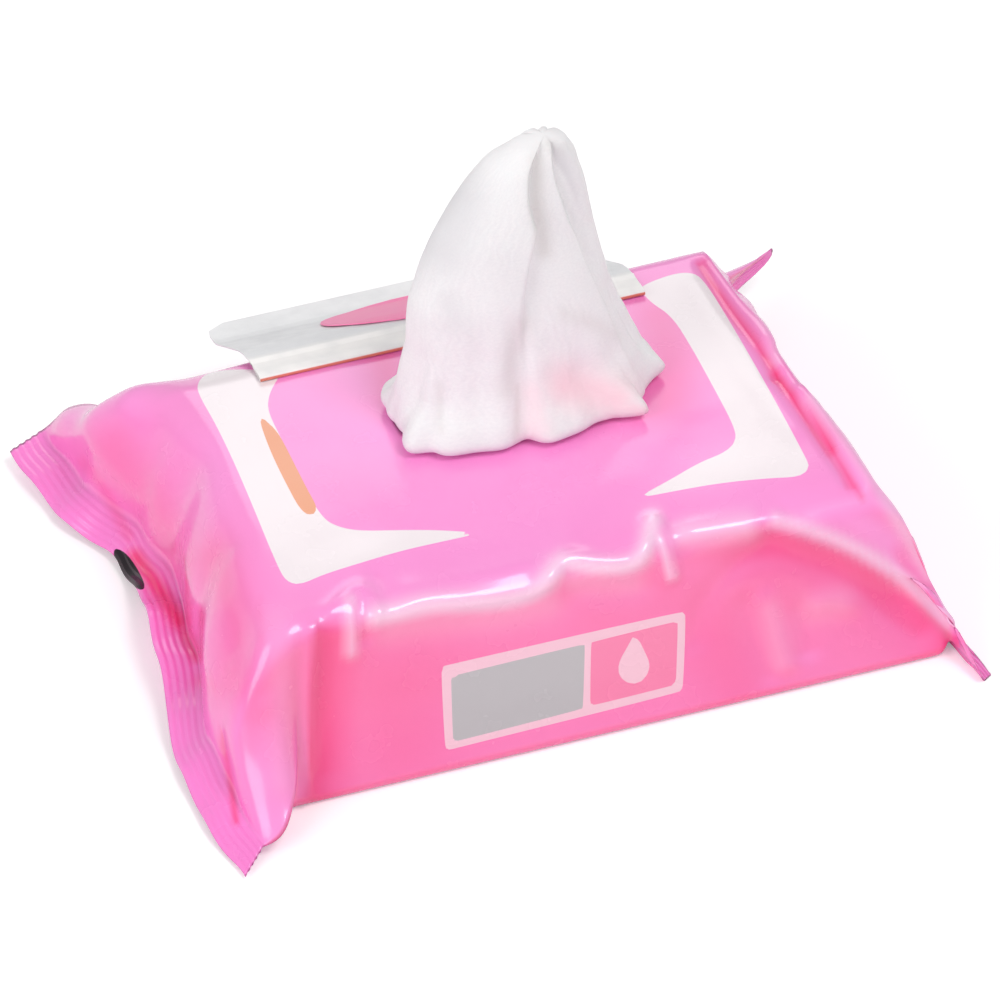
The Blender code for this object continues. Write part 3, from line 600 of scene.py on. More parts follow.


# painted shade, painted highlight and painted light on the film beyond what its slope gives, and where its gloss is
# dulled: lines in pixels, width and strength
# a tone with a hard side lies only on that side of its line
filmTones = {
    # painted shade: deeper pink in creases and hollows, below the front folds and beside the pulled wipe
    "deep": [
        {"line": ((314, 622), (310, 680), (308, 745), (305, 805)), "width": 44.0, "strength": 0.85, "hardSide": "right"},
        {"line": ((400, 690), (400, 740)), "width": 70.0, "strength": 0.25},
        {"line": ((770, 530), (804, 535), (854, 554), (904, 585), (952, 634)), "width": 46.0, "strength": 0.62,
         "hardSide": "below"},
        {"line": ((720, 640), (740, 690)), "width": 40.0, "strength": 0.25},
        {"line": ((136, 557), (158, 588), (179, 621)), "width": 10.0, "strength": 1.0},
        {"line": ((84, 462), (104, 486), (129, 536)), "width": 8.0, "strength": 0.4},
        {"line": ((179, 621), (196, 657)), "width": 7.0, "strength": 0.7},
        {"line": ((110, 450), (150, 500), (180, 560)), "width": 30.0, "strength": 0.35},
        {"line": ((215, 560), (235, 620), (235, 680)), "width": 28.0, "strength": 0.42},
        {"line": ((200, 680), (225, 692), (250, 690)), "width": 10.0, "strength": 0.35},
        {"line": ((258, 600), (262, 650)), "width": 5.0, "strength": 0.25},
        {"line": ((221, 736), (229, 770), (236, 821)), "width": 4.0, "strength": 0.7},
        {"line": ((701, 263), (727, 308), (760, 347), (775, 374)), "width": 5.0, "strength": 0.8},
        {"line": ((775, 374), (800, 405), (832, 452)), "width": 5.5, "strength": 1.0},
        {"line": ((832, 452), (862, 498)), "width": 4.0, "strength": 0.5},
        {"line": ((708, 262), (745, 318), (778, 362), (830, 434)), "width": 12.0, "strength": 0.2},
        # painted shadow of the pulled wipe on the top film, on either side of it
        {"line": ((660, 320), (672, 360), (668, 395)), "width": 30.0, "strength": 0.36},
        {"line": ((385, 356), (392, 385)), "width": 22.0, "strength": 0.36},
    ],
    # painted highlight: whiter pink along the crests of the shoulder and the folds
    "pale": [
        {"line": ((350, 600), (351, 652)), "width": 7.0, "strength": 0.5},
        {"line": ((376, 616), (400, 612), (430, 604), (470, 603), (510, 600), (540, 590), (556, 568)),
         "width": 12.0, "strength": 0.8},
        {"line": ((562, 561), (600, 568), (634, 566), (648, 548), (653, 520)), "width": 10.0, "strength": 0.8},
        {"line": ((653, 518), (664, 548), (672, 576)), "width": 5.0, "strength": 0.6},
        {"line": ((390, 626), (440, 618), (500, 614), (546, 602)), "width": 18.0, "strength": 0.2},
        {"line": ((575, 580), (630, 580)), "width": 16.0, "strength": 0.2},
        {"line": ((684, 533), (745, 526)), "width": 14.0, "strength": 0.5},
        {"line": ((776, 520), (804, 527), (854, 546), (904, 578), (949, 622)), "width": 8.0, "strength": 0.6},
        {"line": ((276, 620), (282, 700), (285, 780)), "width": 16.0, "strength": 0.1},
        {"line": ((748, 292), (768, 330), (777, 360)), "width": 5.0, "strength": 0.3},
        {"line": ((812, 398), (850, 440), (890, 505), (930, 575)), "width": 8.0, "strength": 0.4},
        {"line": ((770, 612), (782, 660)), "width": 12.0, "strength": 0.16},
        {"line": ((815, 608), (840, 602)), "width": 16.0, "strength": 0.16},
    ],
    # painted light: the top's lit pink laid on the front right corner where the film turns up
    "light": [
        {"line": ((780, 500), (850, 515), (905, 556), (940, 598)), "width": 24.0, "strength": 0.85},
        {"line": ((860, 470), (892, 525)), "width": 12.0, "strength": 0.5},
    ],
    "dull": [
        {"line": ((788, 510), (830, 502), (876, 492)), "width": 18.0, "strength": 0.95},
        {"line": ((866, 480), (880, 512)), "width": 10.0, "strength": 0.8},
    ],
}

# printed fields of colour, as outlines in pixels of the photograph
printSet = {
    "bands": [
        ((197, 392), (218, 428), (243, 482), (278, 568), (287, 582), (300, 585), (322, 575), (350, 566), (400, 551),
         (440, 542), (482, 533), (440, 530), (400, 530), (360, 531), (338, 527), (322, 518), (300, 480), (282, 440),
         (268, 412), (268, 398), (274, 384), (282, 374), (250, 369), (222, 370), (205, 374), (198, 382)),
        ((640, 289), (645, 284), (672, 274), (690, 272), (703, 278), (735, 330), (775, 400), (806, 458), (810, 468),
         (800, 477), (770, 478), (720, 483), (680, 490), (634, 499), (668, 481), (700, 462), (724, 453), (736, 442),
         (735, 428), (715, 390), (692, 348), (672, 316), (650, 302)),
    ],
    "peach": [((257, 413), (277, 430), (290, 455), (306, 487), (320, 512), (304, 517), (283, 478), (268, 446))],
    "plate": [((441, 667), (443, 666), (683, 611), (686, 613), (683, 689), (681, 692), (448, 750), (445, 751))],
    "panel": [((451, 677), (452, 676), (584, 644), (585, 645), (583, 708), (582, 709), (454, 742), (453, 741))],
    "tint": [((591, 643), (592, 642), (677, 621), (678, 622), (676, 684), (675, 685), (591, 706), (590, 705))],
    "drop": [((635, 632), (645, 652), (651, 666), (644, 681), (631, 685), (619, 677), (618, 663), (627, 648))],
    "mark": [((112, 546), (129, 554), (148, 588), (137, 591), (116, 566))],
}


def printDistance(pixels, outlines):
    # in millimetres on the film, at the photograph's scale
    scale = cameraSet["focalPixels"] / cameraSet["distance"] * mm
    found = np.full(pixels.shape[:-1], -3.0)
    for corners in outlines:
        found = np.maximum(found, signedDistance(pixels, roundedOutline(corners)) / scale)
    return np.clip(found, -3, 3)


def toneStrength(pixels, tones):
    total = np.zeros(pixels.shape[:-1])
    for tone in tones:
        gap = distanceToLine(pixels, smoothLine(tone["line"]))
        found = tone["strength"] * np.exp(-(gap / tone["width"]) ** 2)
        across, down = zip(*tone["line"])
        if tone.get("hardSide") == "below":
            found = found * rampUp(pixels[..., 1] - np.interp(pixels[..., 0], across, down), -2.0, 5.0)
        if tone.get("hardSide") == "right":
            found = found * rampUp(pixels[..., 0] - np.interp(pixels[..., 1], down, across), -2.0, 4.0)
            found = found * rampUp(pixels[..., 1], down[0] - 6.0, down[0] + 14.0)
        total = np.maximum(total, found)
    return total


def addAttribute(mesh, name, values):
    attribute = mesh.attributes.new(name, "FLOAT", "POINT")
    attribute.data.foreach_set("value", np.asarray(values, np.float32).ravel())


def makeFilm():
    plain = filmRows()
    normals = gridNormals(plain)
    probe = normals[len(plain) // 2, np.argmax(sectionZ)]
    if probe[2] < 0:
        normals = -normals
    offset = foldedOffset(plain)
    sealSteps = filmSet["crimps"] * filmSet["crimpSteps"]
    calm = np.ones(len(plain))
    for step in range(sealSteps + 6):
        share_ = 0.0 if step < sealSteps else (step - sealSteps + 1) / 7
        calm[step] = share_
        calm[-step - 1] = share_
    offset *= calm[:, None]
    grid = plain + normals * offset[..., None]
    # gentle waves of the seals, the same for both of their layers
    wave = (1 - calm)[:, None] * 0.5 * mm * np.sin(along * 31 + 0.6)[None, :] * (1 - along[None, :] ** 8)
    grid[..., 2] += np.maximum(wave, -grid[..., 2] * 0.5)
    grid[..., 2] = np.maximum(grid[..., 2], 0.0)

    mesh = bpy.data.meshes.new("film")
    rows, count = grid.shape[:2]
    points = grid.reshape(-1, 3)
    faces = []
    for row in range(rows - 1):
        for index in range(count):
            following = (index + 1) % count
            faces.append((row * count + index, row * count + following,
                          (row + 1) * count + following, (row + 1) * count + index))
    half = count // 2
    for start, flip in ((0, False), ((rows - 1) * count, True)):
        for index in range(half):
            corners = [index, index + 1, (count - index - 1) % count, (count - index) % count]
            if index == 0:
                corners = [0, 1, count - 1]
            elif index == half - 1:
                corners = [half - 1, half, half + 1]
            corners = [start + corner for corner in corners]
            faces.append(tuple(corners[::-1] if flip else corners))
    mesh.from_pydata([tuple(point) for point in points], [], faces)
    film = bpy.data.objects.new("film", mesh)
    bpy.context.scene.collection.objects.link(film)

    pixels = toPixels(grid)
    topFilm = onTop[None, :] & (grid[..., 2] > 20 * mm)
    facing = normals @ np.array(towardsCamera)
    seen = facing > 0.05
    for name in ("bands", "peach"):
        addAttribute(mesh, name, printDistance(pixels, printSet[name]) + np.where(topFilm & seen, 0.0, -6.0))
    frontFace = seen & (grid[..., 1] < -30 * mm) & (grid[..., 2] > 1.0 * mm)
    for name in ("plate", "panel", "tint", "drop"):
        addAttribute(mesh, name, printDistance(pixels, printSet[name]) + np.where(frontFace, 0.0, -6.0))
    for name, tones in filmTones.items():
        addAttribute(mesh, name, toneStrength(pixels, tones) * rampUp(facing, 0.0, 0.25))
    markHere = np.where(grid[..., 0] < -70 * mm, 0.0, -6.0)
    addAttribute(mesh, "mark", printDistance(pixels, printSet["mark"]) + markHere)
    addAttribute(mesh, "dip", np.clip(-offset / (1.6 * mm), -1, 1))
    addAttribute(mesh, "sealed", np.broadcast_to((1 - calm)[:, None], offset.shape))
    cutMouth(film)
    bpy.ops.object.select_all(action="DESELECT")
    film.select_set(True)
    bpy.context.view_layer.objects.active = film
    bpy.ops.object.mode_set(mode="EDIT")
    bpy.ops.mesh.select_all(action="SELECT")
    bpy.ops.mesh.normals_make_consistent(inside=False)
    bpy.ops.object.mode_set(mode="OBJECT")
    wall = film.modifiers.new("wall", "SOLIDIFY")
    wall.thickness = filmSet["wall"]
    wall.offset = -1
    bpy.ops.object.modifier_apply(modifier="wall")
    bpy.ops.object.shade_smooth()
    return film


def cutMouth(film):
    # points just inside the oval move to its edge, and the faces within it go
    work = bmesh.new()
    work.from_mesh(film.data)
    halfLength, halfWidth = mouthSet["length"] / 2, mouthSet["width"] / 2
    reach = {}
    for vertex in work.verts:
        if vertex.co.z > filmSet["shoulderHeight"] - 2 * mm:
            dx = (vertex.co.x - mouthSet["x"]) / halfLength
            dy = (vertex.co.y - mouthSet["y"]) / halfWidth
            reach[vertex] = (abs(dx) ** mouthSet["exponent"] + abs(dy) ** mouthSet["exponent"]) ** (
                1 / mouthSet["exponent"])
    gone = [face for face in work.faces if all(reach.get(corner, 9) < 1 for corner in face.verts)]
    bmesh.ops.delete(work, geom=gone, context="FACES")
    for vertex in work.verts:
        size = reach.get(vertex, 9)
        if size < 1:
            vertex.co.x = mouthSet["x"] + (vertex.co.x - mouthSet["x"]) / size
            vertex.co.y = mouthSet["y"] + (vertex.co.y - mouthSet["y"]) / size
    work.to_mesh(film.data)
    work.free()


# small builders for materials
class Finish:
    def __init__(self, name):
        self.material, self.nodes, self.links = newMaterial(name)
        self.out = self.nodes.new("ShaderNodeOutputMaterial")
        self.shader = self.nodes.new("ShaderNodeBsdfPrincipled")
        self.links.new(self.shader.outputs[0], self.out.inputs["Surface"])
        self.coordinates = self.nodes.new("ShaderNodeTexCoord")

    def join(self, source, target):
        self.links.new(source, target)

    def attribute(self, name):
        node = self.nodes.new("ShaderNodeAttribute")
        node.attribute_name = name
        return node.outputs["Fac"]

    def ramp(self, value, low, high, start=0.0, end=1.0, smooth=False):
        node = self.nodes.new("ShaderNodeMapRange")
        node.interpolation_type = "SMOOTHSTEP" if smooth else "LINEAR"
        node.inputs["From Min"].default_value = low
        node.inputs["From Max"].default_value = high
        node.inputs["To Min"].default_value = start
        node.inputs["To Max"].default_value = end
        self.join(value, node.inputs["Value"])
        return node.outputs["Result"]

    def maths(self, operation, first, second):
        node = self.nodes.new("ShaderNodeMath")
        node.operation = operation
        for socket, value in zip(node.inputs, (first, second)):
            if isinstance(value, (int, float)):
                socket.default_value = value
            else:
                self.join(value, socket)
        return node.outputs[0]

    def blend(self, amount, first, second):
        node = self.nodes.new("ShaderNodeMix")
        node.data_type = "RGBA"
        for socket, value in ((node.inputs[6], first), (node.inputs[7], second)):
            if isinstance(value, tuple):
                socket.default_value = (*value, 1)
            else:
                self.join(value, socket)
        self.join(amount, node.inputs[0])
        return node.outputs[2]

    def grain(self, scale, detail=2.0, source="Object"):
        node = self.nodes.new("ShaderNodeTexNoise")
        node.inputs["Scale"].default_value = scale
        node.inputs["Detail"].default_value = detail
        self.join(self.coordinates.outputs[source], node.inputs["Vector"])
        return node.outputs["Fac"]

    def bump(self, height, strength, distance, below=None):
        node = self.nodes.new("ShaderNodeBump")
        node.inputs["Strength"].default_value = strength
        node.inputs["Distance"].default_value = distance
        self.join(height, node.inputs["Height"])
        if below is not None:
            self.join(below, node.inputs["Normal"])
        return node.outputs[0]

    def axis(self, name, source="Object"):
        node = self.nodes.new("ShaderNodeSeparateXYZ")
        self.join(self.coordinates.outputs[source], node.inputs[0])
        return node.outputs[name]

    def normalAxis(self, name):
        shape = self.nodes.new("ShaderNodeNewGeometry")
        node = self.nodes.new("ShaderNodeSeparateXYZ")
        self.join(shape.outputs["Normal"], node.inputs[0])
        return node.outputs[name]


def linear(red, green, blue):
    # colour as a screen shows it, 0 to 255, made linear
    def one(value):
        value /= 255
        return value / 12.92 if value <= 0.04045 else ((value + 0.055) / 1.055) ** 2.4
    return one(red), one(green), one(blue)


# film colours: top, slope and front are one pink as lit from above, from the side and from the front, painted light
# and shade; deep is painted shade and pale a painted highlight
filmColours = {
    "top": linear(254, 150, 218),
    "slope": linear(254, 126, 203),
    "front": linear(254, 113, 170),
    "deep": linear(248, 60, 130),
    "pale": linear(254, 220, 243),
    "seal": linear(254, 128, 212),
    "printWhite": linear(246, 235, 239),
    "printPeach": linear(236, 158, 118),
    "plateEdge": linear(248, 196, 214),
    "plateGrey": linear(188, 182, 186),
    "plateTint": linear(250, 130, 174),
    "markInk": linear(24, 10, 20),
}


def makeFilmFinish():
    finish = Finish("pinkFilm")
    # painted light and shade: the pink turns from front to slope to top by which way the film faces
    upward, forward = finish.normalAxis("Z"), finish.normalAxis("Y")
    steep = finish.ramp(upward, 0.1, 0.9, smooth=True)
    facingFront = finish.ramp(forward, -0.35, -0.85, smooth=True)
    side = finish.blend(facingFront, filmColours["slope"], filmColours["front"])
    colour = finish.blend(steep, side, filmColours["top"])
    cloudy = finish.grain(24.0, 1.0)
    colour = finish.blend(finish.ramp(cloudy, 0.45, 0.75, 0.0, 0.18), colour, filmColours["front"])
    colour = finish.blend(finish.ramp(finish.attribute("sealed"), 0.3, 1.0, 0.0, 0.8), colour, filmColours["seal"])
    # painted light from the tone attributes
    colour = finish.blend(finish.attribute("light"), colour, filmColours["top"])
    # painted shade: deeper pink where the film dips in
    colour = finish.blend(finish.ramp(finish.attribute("dip"), 0.3, 1.0, 0.0, 0.35, True), colour,
                          filmColours["deep"])
    # painted shade from the tone attributes
    colour = finish.blend(finish.attribute("deep"), colour, filmColours["deep"])
    # painted highlight from the tone attributes
    colour = finish.blend(finish.attribute("pale"), colour, filmColours["pale"])
    for name, ink in (("bands", "printWhite"), ("peach", "printPeach"), ("plate", "plateEdge"),
                      ("panel", "plateGrey"), ("tint", "plateTint"), ("drop", "plateEdge"), ("mark", "markInk")):
        mask = finish.ramp(finish.attribute(name), -0.06, 0.06)
        colour = finish.blend(mask, colour, filmColours[ink])
    finish.join(colour, finish.shader.inputs["Base Color"])
    rough = finish.ramp(finish.grain(90.0, 3.0), 0.3, 0.7, 0.2, 0.3)
    rough = finish.maths("ADD", rough, finish.maths("MULTIPLY", finish.attribute("dull"), 0.35))
    finish.join(rough, finish.shader.inputs["Roughness"])
    finish.shader.inputs["Specular IOR Level"].default_value = 0.5
    inked = finish.ramp(finish.attribute("mark"), -0.06, 0.06, 0.7, 0.0)
    glossy = finish.maths("MULTIPLY", inked, finish.maths("SUBTRACT", 1.0, finish.attribute("dull")))
    finish.join(glossy, finish.shader.inputs["Coat Weight"])
    finish.shader.inputs["Coat Roughness"].default_value = 0.15
    wide = finish.bump(finish.grain(45.0, 1.5), 0.25, 0.0012)
    fine = finish.bump(finish.grain(320.0, 2.0), 0.1, 0.0003, wide)
    finish.join(fine, finish.shader.inputs["Normal"])
    return finish.material


film = makeFilm()
film.data.materials.append(makeFilmFinish())
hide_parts("pack_film")
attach(film, "root")
print("film made:", len(film.data.polygons), "faces")


# pulled wipe: rings from the stack up through the mouth to the peak
wipeSet = {
    "flat": (182 * mm, 135 * mm),
    "thickness": 0.35 * mm,
    "points": 240,
    "rows": 96,
    "height": 80.0 * mm,
    "rim": filmSet["shoulderHeight"] + filmSet["crownRise"],
    "peak": (9.8, 0.5),
    "crumple": 0.4,
    "hemClearance": 0.7 * mm,
}

# share of the height, half length, half width, lean in x and y, ruffle of the hem
wipeRings = [
    (0.000, 28.2, 13.8, 0.4, -0.4, 0.0),
    (0.014, 32.6, 17.8, 2.4, -2.3, 0.3),
    (0.040, 34.0, 19.4, 2.6, -2.4, 0.5),
    (0.075, 33.4, 18.4, 2.4, -2.4, 0.4),
    (0.120, 31.8, 16.6, 2.0, -2.2, 0.3),
    (0.200, 29.6, 14.8, 1.4, -1.6, 0.3),
    (0.300, 27.2, 13.4, 0.8, -1.5, 0.2),
    (0.470, 24.7, 11.9, -0.6, -1.0, 0.1),
    (0.600, 21.9, 10.9, -0.2, -0.5, 0.0),
    (0.720, 18.8, 9.8, 1.2, 0.0, 0.0),
    (0.830, 14.8, 8.6, 3.2, 0.5, 0.0),
    (0.920, 10.8, 6.8, 5.5, 0.5, 0.0),
    (0.980, 6.2, 4.4, 7.8, 0.5, 0.0),
]

# reach of the hem by direction in degrees: the corners of the cloth stand out on the right
wipeHem = ((-180.0, 0.97), (-166.0, 1.02), (-156.0, 1.12), (-146.0, 1.16), (-130.0, 1.13), (-120.0, 1.08), (-105.0, 1.0), (-75.0, 1.04), (-57.0, 1.02),
           (-50.0, 1.2), (-42.0, 1.0), (-30.0, 0.95), (-16.0, 1.0), (-9.0, 1.06), (3.0, 0.98),
           (35.0, 1.07), (60.0, 1.02), (120.0, 1.04), (146.0, 1.12), (166.0, 1.01), (180.0, 0.97))

# the recess between the front panel and the back one: its two edges in degrees round the wipe and its depth
wipeRecess = {
    "left": ((0.0, -99.0), (0.37, -95.0), (0.73, -82.0), (0.92, -104.0), (1.0, -112.0)),
    "right": ((0.0, -40.0), (0.36, -30.0), (0.63, -33.0), (0.82, -50.0), (1.0, -70.0)),
    "depth": ((0.0, 0.0), (0.2, 0.07), (0.45, 0.17), (0.7, 0.42), (0.9, 0.56), (1.0, 0.5)),
    "edge": 4.0,
    "backReach": 34.0,
    "innerRise": 0.62,
    "backStep": 0.75,
}

# upright folds: direction below and above in degrees, width, depth, and the heights between which they run
wipeFolds = [
    (-99.0, -94.0, 6.0, 0.15, -0.2, 0.5),
    (-140.0, -132.0, 5.0, 0.06, -0.2, 0.3),
    (-122.0, -112.0, 8.0, 0.04, -0.2, 0.5),
    (-160.0, -156.0, 9.0, 0.05, -0.2, 0.4),
    (-66.0, -52.0, 9.0, 0.08, -0.2, 0.36),
    (-8.0, 2.0, 8.0, 0.08, 0.02, 0.5),
    (22.0, 18.0, 7.0, 0.20, 0.02, 0.9),
    (44.0, 52.0, 9.0, 0.22, 0.0, 1.2),
    (74.0, 84.0, 8.0, 0.30, 0.0, 1.2),
    (104.0, 104.0, 6.0, 0.16, 0.02, 0.8),
    (130.0, 122.0, 9.0, 0.30, 0.0, 1.2),
    (152.0, 148.0, 6.0, 0.14, 0.02, 0.6),
]

# painted shade, painted cool grey shade and painted pink reflection of the film on the cloth: lines in pixels,
# width and strength
wipeTones = {
    "shaded": [
        {"line": ((546, 138), (560, 150)), "width": 9.0, "strength": 0.5},
        {"line": ((537, 160), (536, 200), (541, 230), (544, 250)), "width": 9.0, "strength": 0.38},
        {"line": ((522, 325), (510, 358), (507, 390)), "width": 12.0, "strength": 0.28},
        {"line": ((517, 385), (516, 442)), "width": 3.5, "strength": 0.35},
        {"line": ((565, 314), (590, 322), (612, 334)), "width": 9.0, "strength": 0.2},
        {"line": ((439, 385), (441, 430)), "width": 5.0, "strength": 0.2},
    ],
    "coolShade": [
        {"line": ((462, 200), (442, 250)), "width": 30.0, "strength": 0.62},
        {"line": ((448, 300), (456, 320)), "width": 16.0, "strength": 0.3},
        {"line": ((548, 138), (551, 154), (565, 179), (584, 225), (601, 270)), "width": 22.0, "strength": 0.9,
         "hardSide": "right"},
        {"line": ((500, 260), (520, 290)), "width": 26.0, "strength": 0.15},
    ],
    "pinkReflection": [
        {"line": ((566, 385), (616, 398)), "width": 24.0, "strength": 0.7},
        {"line": ((630, 408), (648, 414)), "width": 10.0, "strength": 0.6},
        {"line": ((535, 395), (535, 432)), "width": 18.0, "strength": 0.35},
    ],
}


def between(pairs, level):
    return float(np.interp(level, [pair[0] for pair in pairs], [pair[1] for pair in pairs]))


def wipeValue(level, column):
    levels = [row[0] for row in wipeRings]
    values = [row[column] for row in wipeRings]
    for index in range(len(levels) - 1):
        if level <= levels[index + 1]:
            way = (level - levels[index]) / (levels[index + 1] - levels[index])
            before = values[max(index - 1, 0)]
            after = values[min(index + 2, len(values) - 1)]
            a, b = values[index], values[index + 1]
            bend = (b - before) * 0.5, (after - a) * 0.5
            return (a * (2 * way ** 3 - 3 * way ** 2 + 1) + b * (3 * way ** 2 - 2 * way ** 3)
                    + bend[0] * (way ** 3 - 2 * way ** 2 + way) + bend[1] * (way ** 3 - way ** 2))
    return values[-1]


def wipeRing(level):
    turns = np.linspace(0, 2 * math.pi, wipeSet["points"], endpoint=False)
    degrees = (np.degrees(turns) + 180) % 360 - 180
    halfLength, halfWidth = wipeValue(level, 1) * mm, wipeValue(level, 2) * mm
    leanX, leanY = wipeValue(level, 3) * mm, wipeValue(level, 4) * mm
    ruffle = max(wipeValue(level, 5), 0)
    reach = np.ones(len(turns))
    left, right = between(wipeRecess["left"], level), between(wipeRecess["right"], level)
    edge, deep = wipeRecess["edge"], between(wipeRecess["depth"], level)
    inner = np.clip((degrees - left) / (right - left), 0, 1)
    panel = rampUp(degrees, left - 1, left + edge) * (1 - rampUp(degrees, right - 1, right + edge))
    back = rampUp(degrees, right - 1, right + edge) * (1 - rampUp(degrees, right + edge, right + wipeRecess["backReach"]))
    reach -= deep * (panel * (1 - wipeRecess["innerRise"] * inner) + back * wipeRecess["backStep"])
    for low, high, width, depth, start, end in wipeFolds:
        centre = low + (high - low) * level
        gap = np.abs((degrees - centre + 180) % 360 - 180) / width
        present = float(rampUp(level, start, start + 0.15)) * (1 - float(rampUp(level, end - 0.2, end)))
        reach -= depth * present * np.exp(-gap ** 2)
    hemReach = np.interp(degrees, *zip(*wipeHem)) - 1
    reach += hemReach * float(rampUp(level, 0.0, 0.02)) * (1 - float(rampUp(level, 0.04, 0.17)))
    hem = ruffle * mm * (0.7 * np.sin(7 * turns + 0.6) + 0.5 * np.sin(12 * turns + 2.0) + 0.3 * np.sin(19 * turns))
    x = mouthSet["x"] + leanX + (halfLength * reach + hem) * np.cos(turns)
    y = mouthSet["y"] + leanY + (halfWidth * reach + hem) * np.sin(turns)
    z = np.full(len(turns), wipeSet["rim"] + level * wipeSet["height"])
    return np.stack([x, y, z], axis=1)


def skirtRing(z, halfLength, halfWidth, centreX, centreY, exponent):
    turns = np.linspace(0, 2 * math.pi, wipeSet["points"], endpoint=False)
    c, s = np.cos(turns), np.sin(turns)
    x = centreX + halfLength * np.sign(c) * np.abs(c) ** (2 / exponent)
    y = centreY + halfWidth * np.sign(s) * np.abs(s) ** (2 / exponent)
    return np.stack([x, y, np.full(len(turns), z)], axis=1)


def makePulledWipe():
    low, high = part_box("folded_wipe_29")
    middleX = (low.x + high.x) / 2
    lay = high.z + 0.75 * mm
    skirtX, skirtY = (high.x - low.x) / 2 - 4 * mm, (high.y - low.y) / 2 - 4 * mm
    mouthX, mouthY = mouthSet["length"] / 2 - 2.2 * mm, mouthSet["width"] / 2 - 2.2 * mm
    rows = []
    for step in range(8):
        way = step / 8
        rows.append(skirtRing(
            lay + way * 0.5 * mm,
            skirtX + (mouthX - skirtX) * way,
            skirtY + (mouthY - skirtY) * way,
            middleX + (mouthSet["x"] - middleX) * way,
            mouthSet["y"] * way,
            6.0 + (mouthSet["exponent"] - 6.0) * way,
        ))
    neck = skirtRing(lay + 2.0 * mm, mouthX, mouthY, mouthSet["x"], mouthSet["y"], mouthSet["exponent"])
    start = wipeRing(0.0)
    for step in range(5):
        way = step / 5
        rows.append(neck * (1 - way) + start * way)
    top = wipeRings[-1][0]
    for step in range(wipeSet["rows"] + 1):
        level = top * (step / wipeSet["rows"]) ** 1.12
        rows.append(wipeRing(level))
    grid = np.array(rows)
    normals = gridNormals(grid)
    flat = grid.reshape(-1, 3)
    crumple = crinkle(flat, 14 * mm, 5) * 0.9 + crinkle(flat, 6 * mm, 6) * 0.45
    lift = rampUp(grid[..., 2], wipeSet["rim"] + 1.0 * mm, wipeSet["rim"] + 7.0 * mm)
    offset = crumple.reshape(grid.shape[:2]) * wipeSet["crumple"] * mm * lift
    grid = grid + normals * offset[..., None]
    # the hem never sinks into the film's top
    outside = ((np.abs((grid[..., 0] - mouthSet["x"]) / (mouthSet["length"] / 2)) ** 2.5
                + np.abs((grid[..., 1] - mouthSet["y"]) / (mouthSet["width"] / 2)) ** 2.5) > 0.86)
    above = np.arange(len(grid))[:, None] > 13
    floorHere = wipeSet["rim"] + wipeSet["hemClearance"]
    grid[..., 2] = np.where(outside & above, np.maximum(grid[..., 2], floorHere), grid[..., 2])

    work = bmesh.new()
    uvLayer = work.loops.layers.uv.new("cloth")
    made = [[work.verts.new(point) for point in row] for row in grid.tolist()]
    count = wipeSet["points"]
    aroundSize = 0.13
    for row in range(len(made) - 1):
        for index in range(count):
            following = (index + 1) % count
            face = work.faces.new((made[row][index], made[row][following],
                                   made[row + 1][following], made[row + 1][index]))
            face.smooth = True
            for loop, (a, b) in zip(face.loops, ((index, row), (index + 1, row), (index + 1, row + 1), (index, row + 1))):
                loop[uvLayer].uv = (a / count * aroundSize, grid[min(b, len(grid) - 1), 0, 2] + b * 0.0002)
    peak = work.verts.new((
        mouthSet["x"] + wipeSet["peak"][0] * mm,
        mouthSet["y"] + wipeSet["peak"][1] * mm,
        wipeSet["rim"] + wipeSet["height"] - 0.3 * mm,
    ))
    for index in range(count):
        face = work.faces.new((made[-1][index], made[-1][(index + 1) % count], peak))
        face.smooth = True
    bmesh.ops.recalc_face_normals(work, faces=work.faces)
    mesh = bpy.data.meshes.new("pulledWipe")
    work.to_mesh(mesh)
    work.free()
    middle = np.array([mouthSet["x"], mouthSet["y"]])
    nearer = (grid[..., :2] - middle) @ np.array(towardsCamera[:2])
    for name, tones in wipeTones.items():
        strengths = toneStrength(toPixels(grid), tones) * rampUp(nearer, -3 * mm, 0.0)
        addAttribute(mesh, name, np.append(strengths.ravel(), 0.0))
    wipe = bpy.data.objects.new("pulledWipe", mesh)
    bpy.context.scene.collection.objects.link(wipe)
    bpy.ops.object.select_all(action="DESELECT")
    wipe.select_set(True)
    bpy.context.view_layer.objects.active = wipe
    smoothing = wipe.modifiers.new("soften", "SMOOTH")
    smoothing.factor = 0.5
    smoothing.iterations = 2
    bpy.ops.object.modifier_apply(modifier="soften")
    layer = wipe.modifiers.new("layer", "SOLIDIFY")
    layer.thickness = wipeSet["thickness"]
    layer.offset = 0
    bpy.ops.object.modifier_apply(modifier="layer")
    bpy.ops.object.shade_smooth()
    return wipe


# painted shade, painted cool grey shade and painted pink reflection of the film, for the pulled wipe
clothColours = {
    "shade": linear(206, 198, 194),
    "coolShade": linear(212, 209, 213),
    "pinkReflection": linear(253, 204, 216),
}


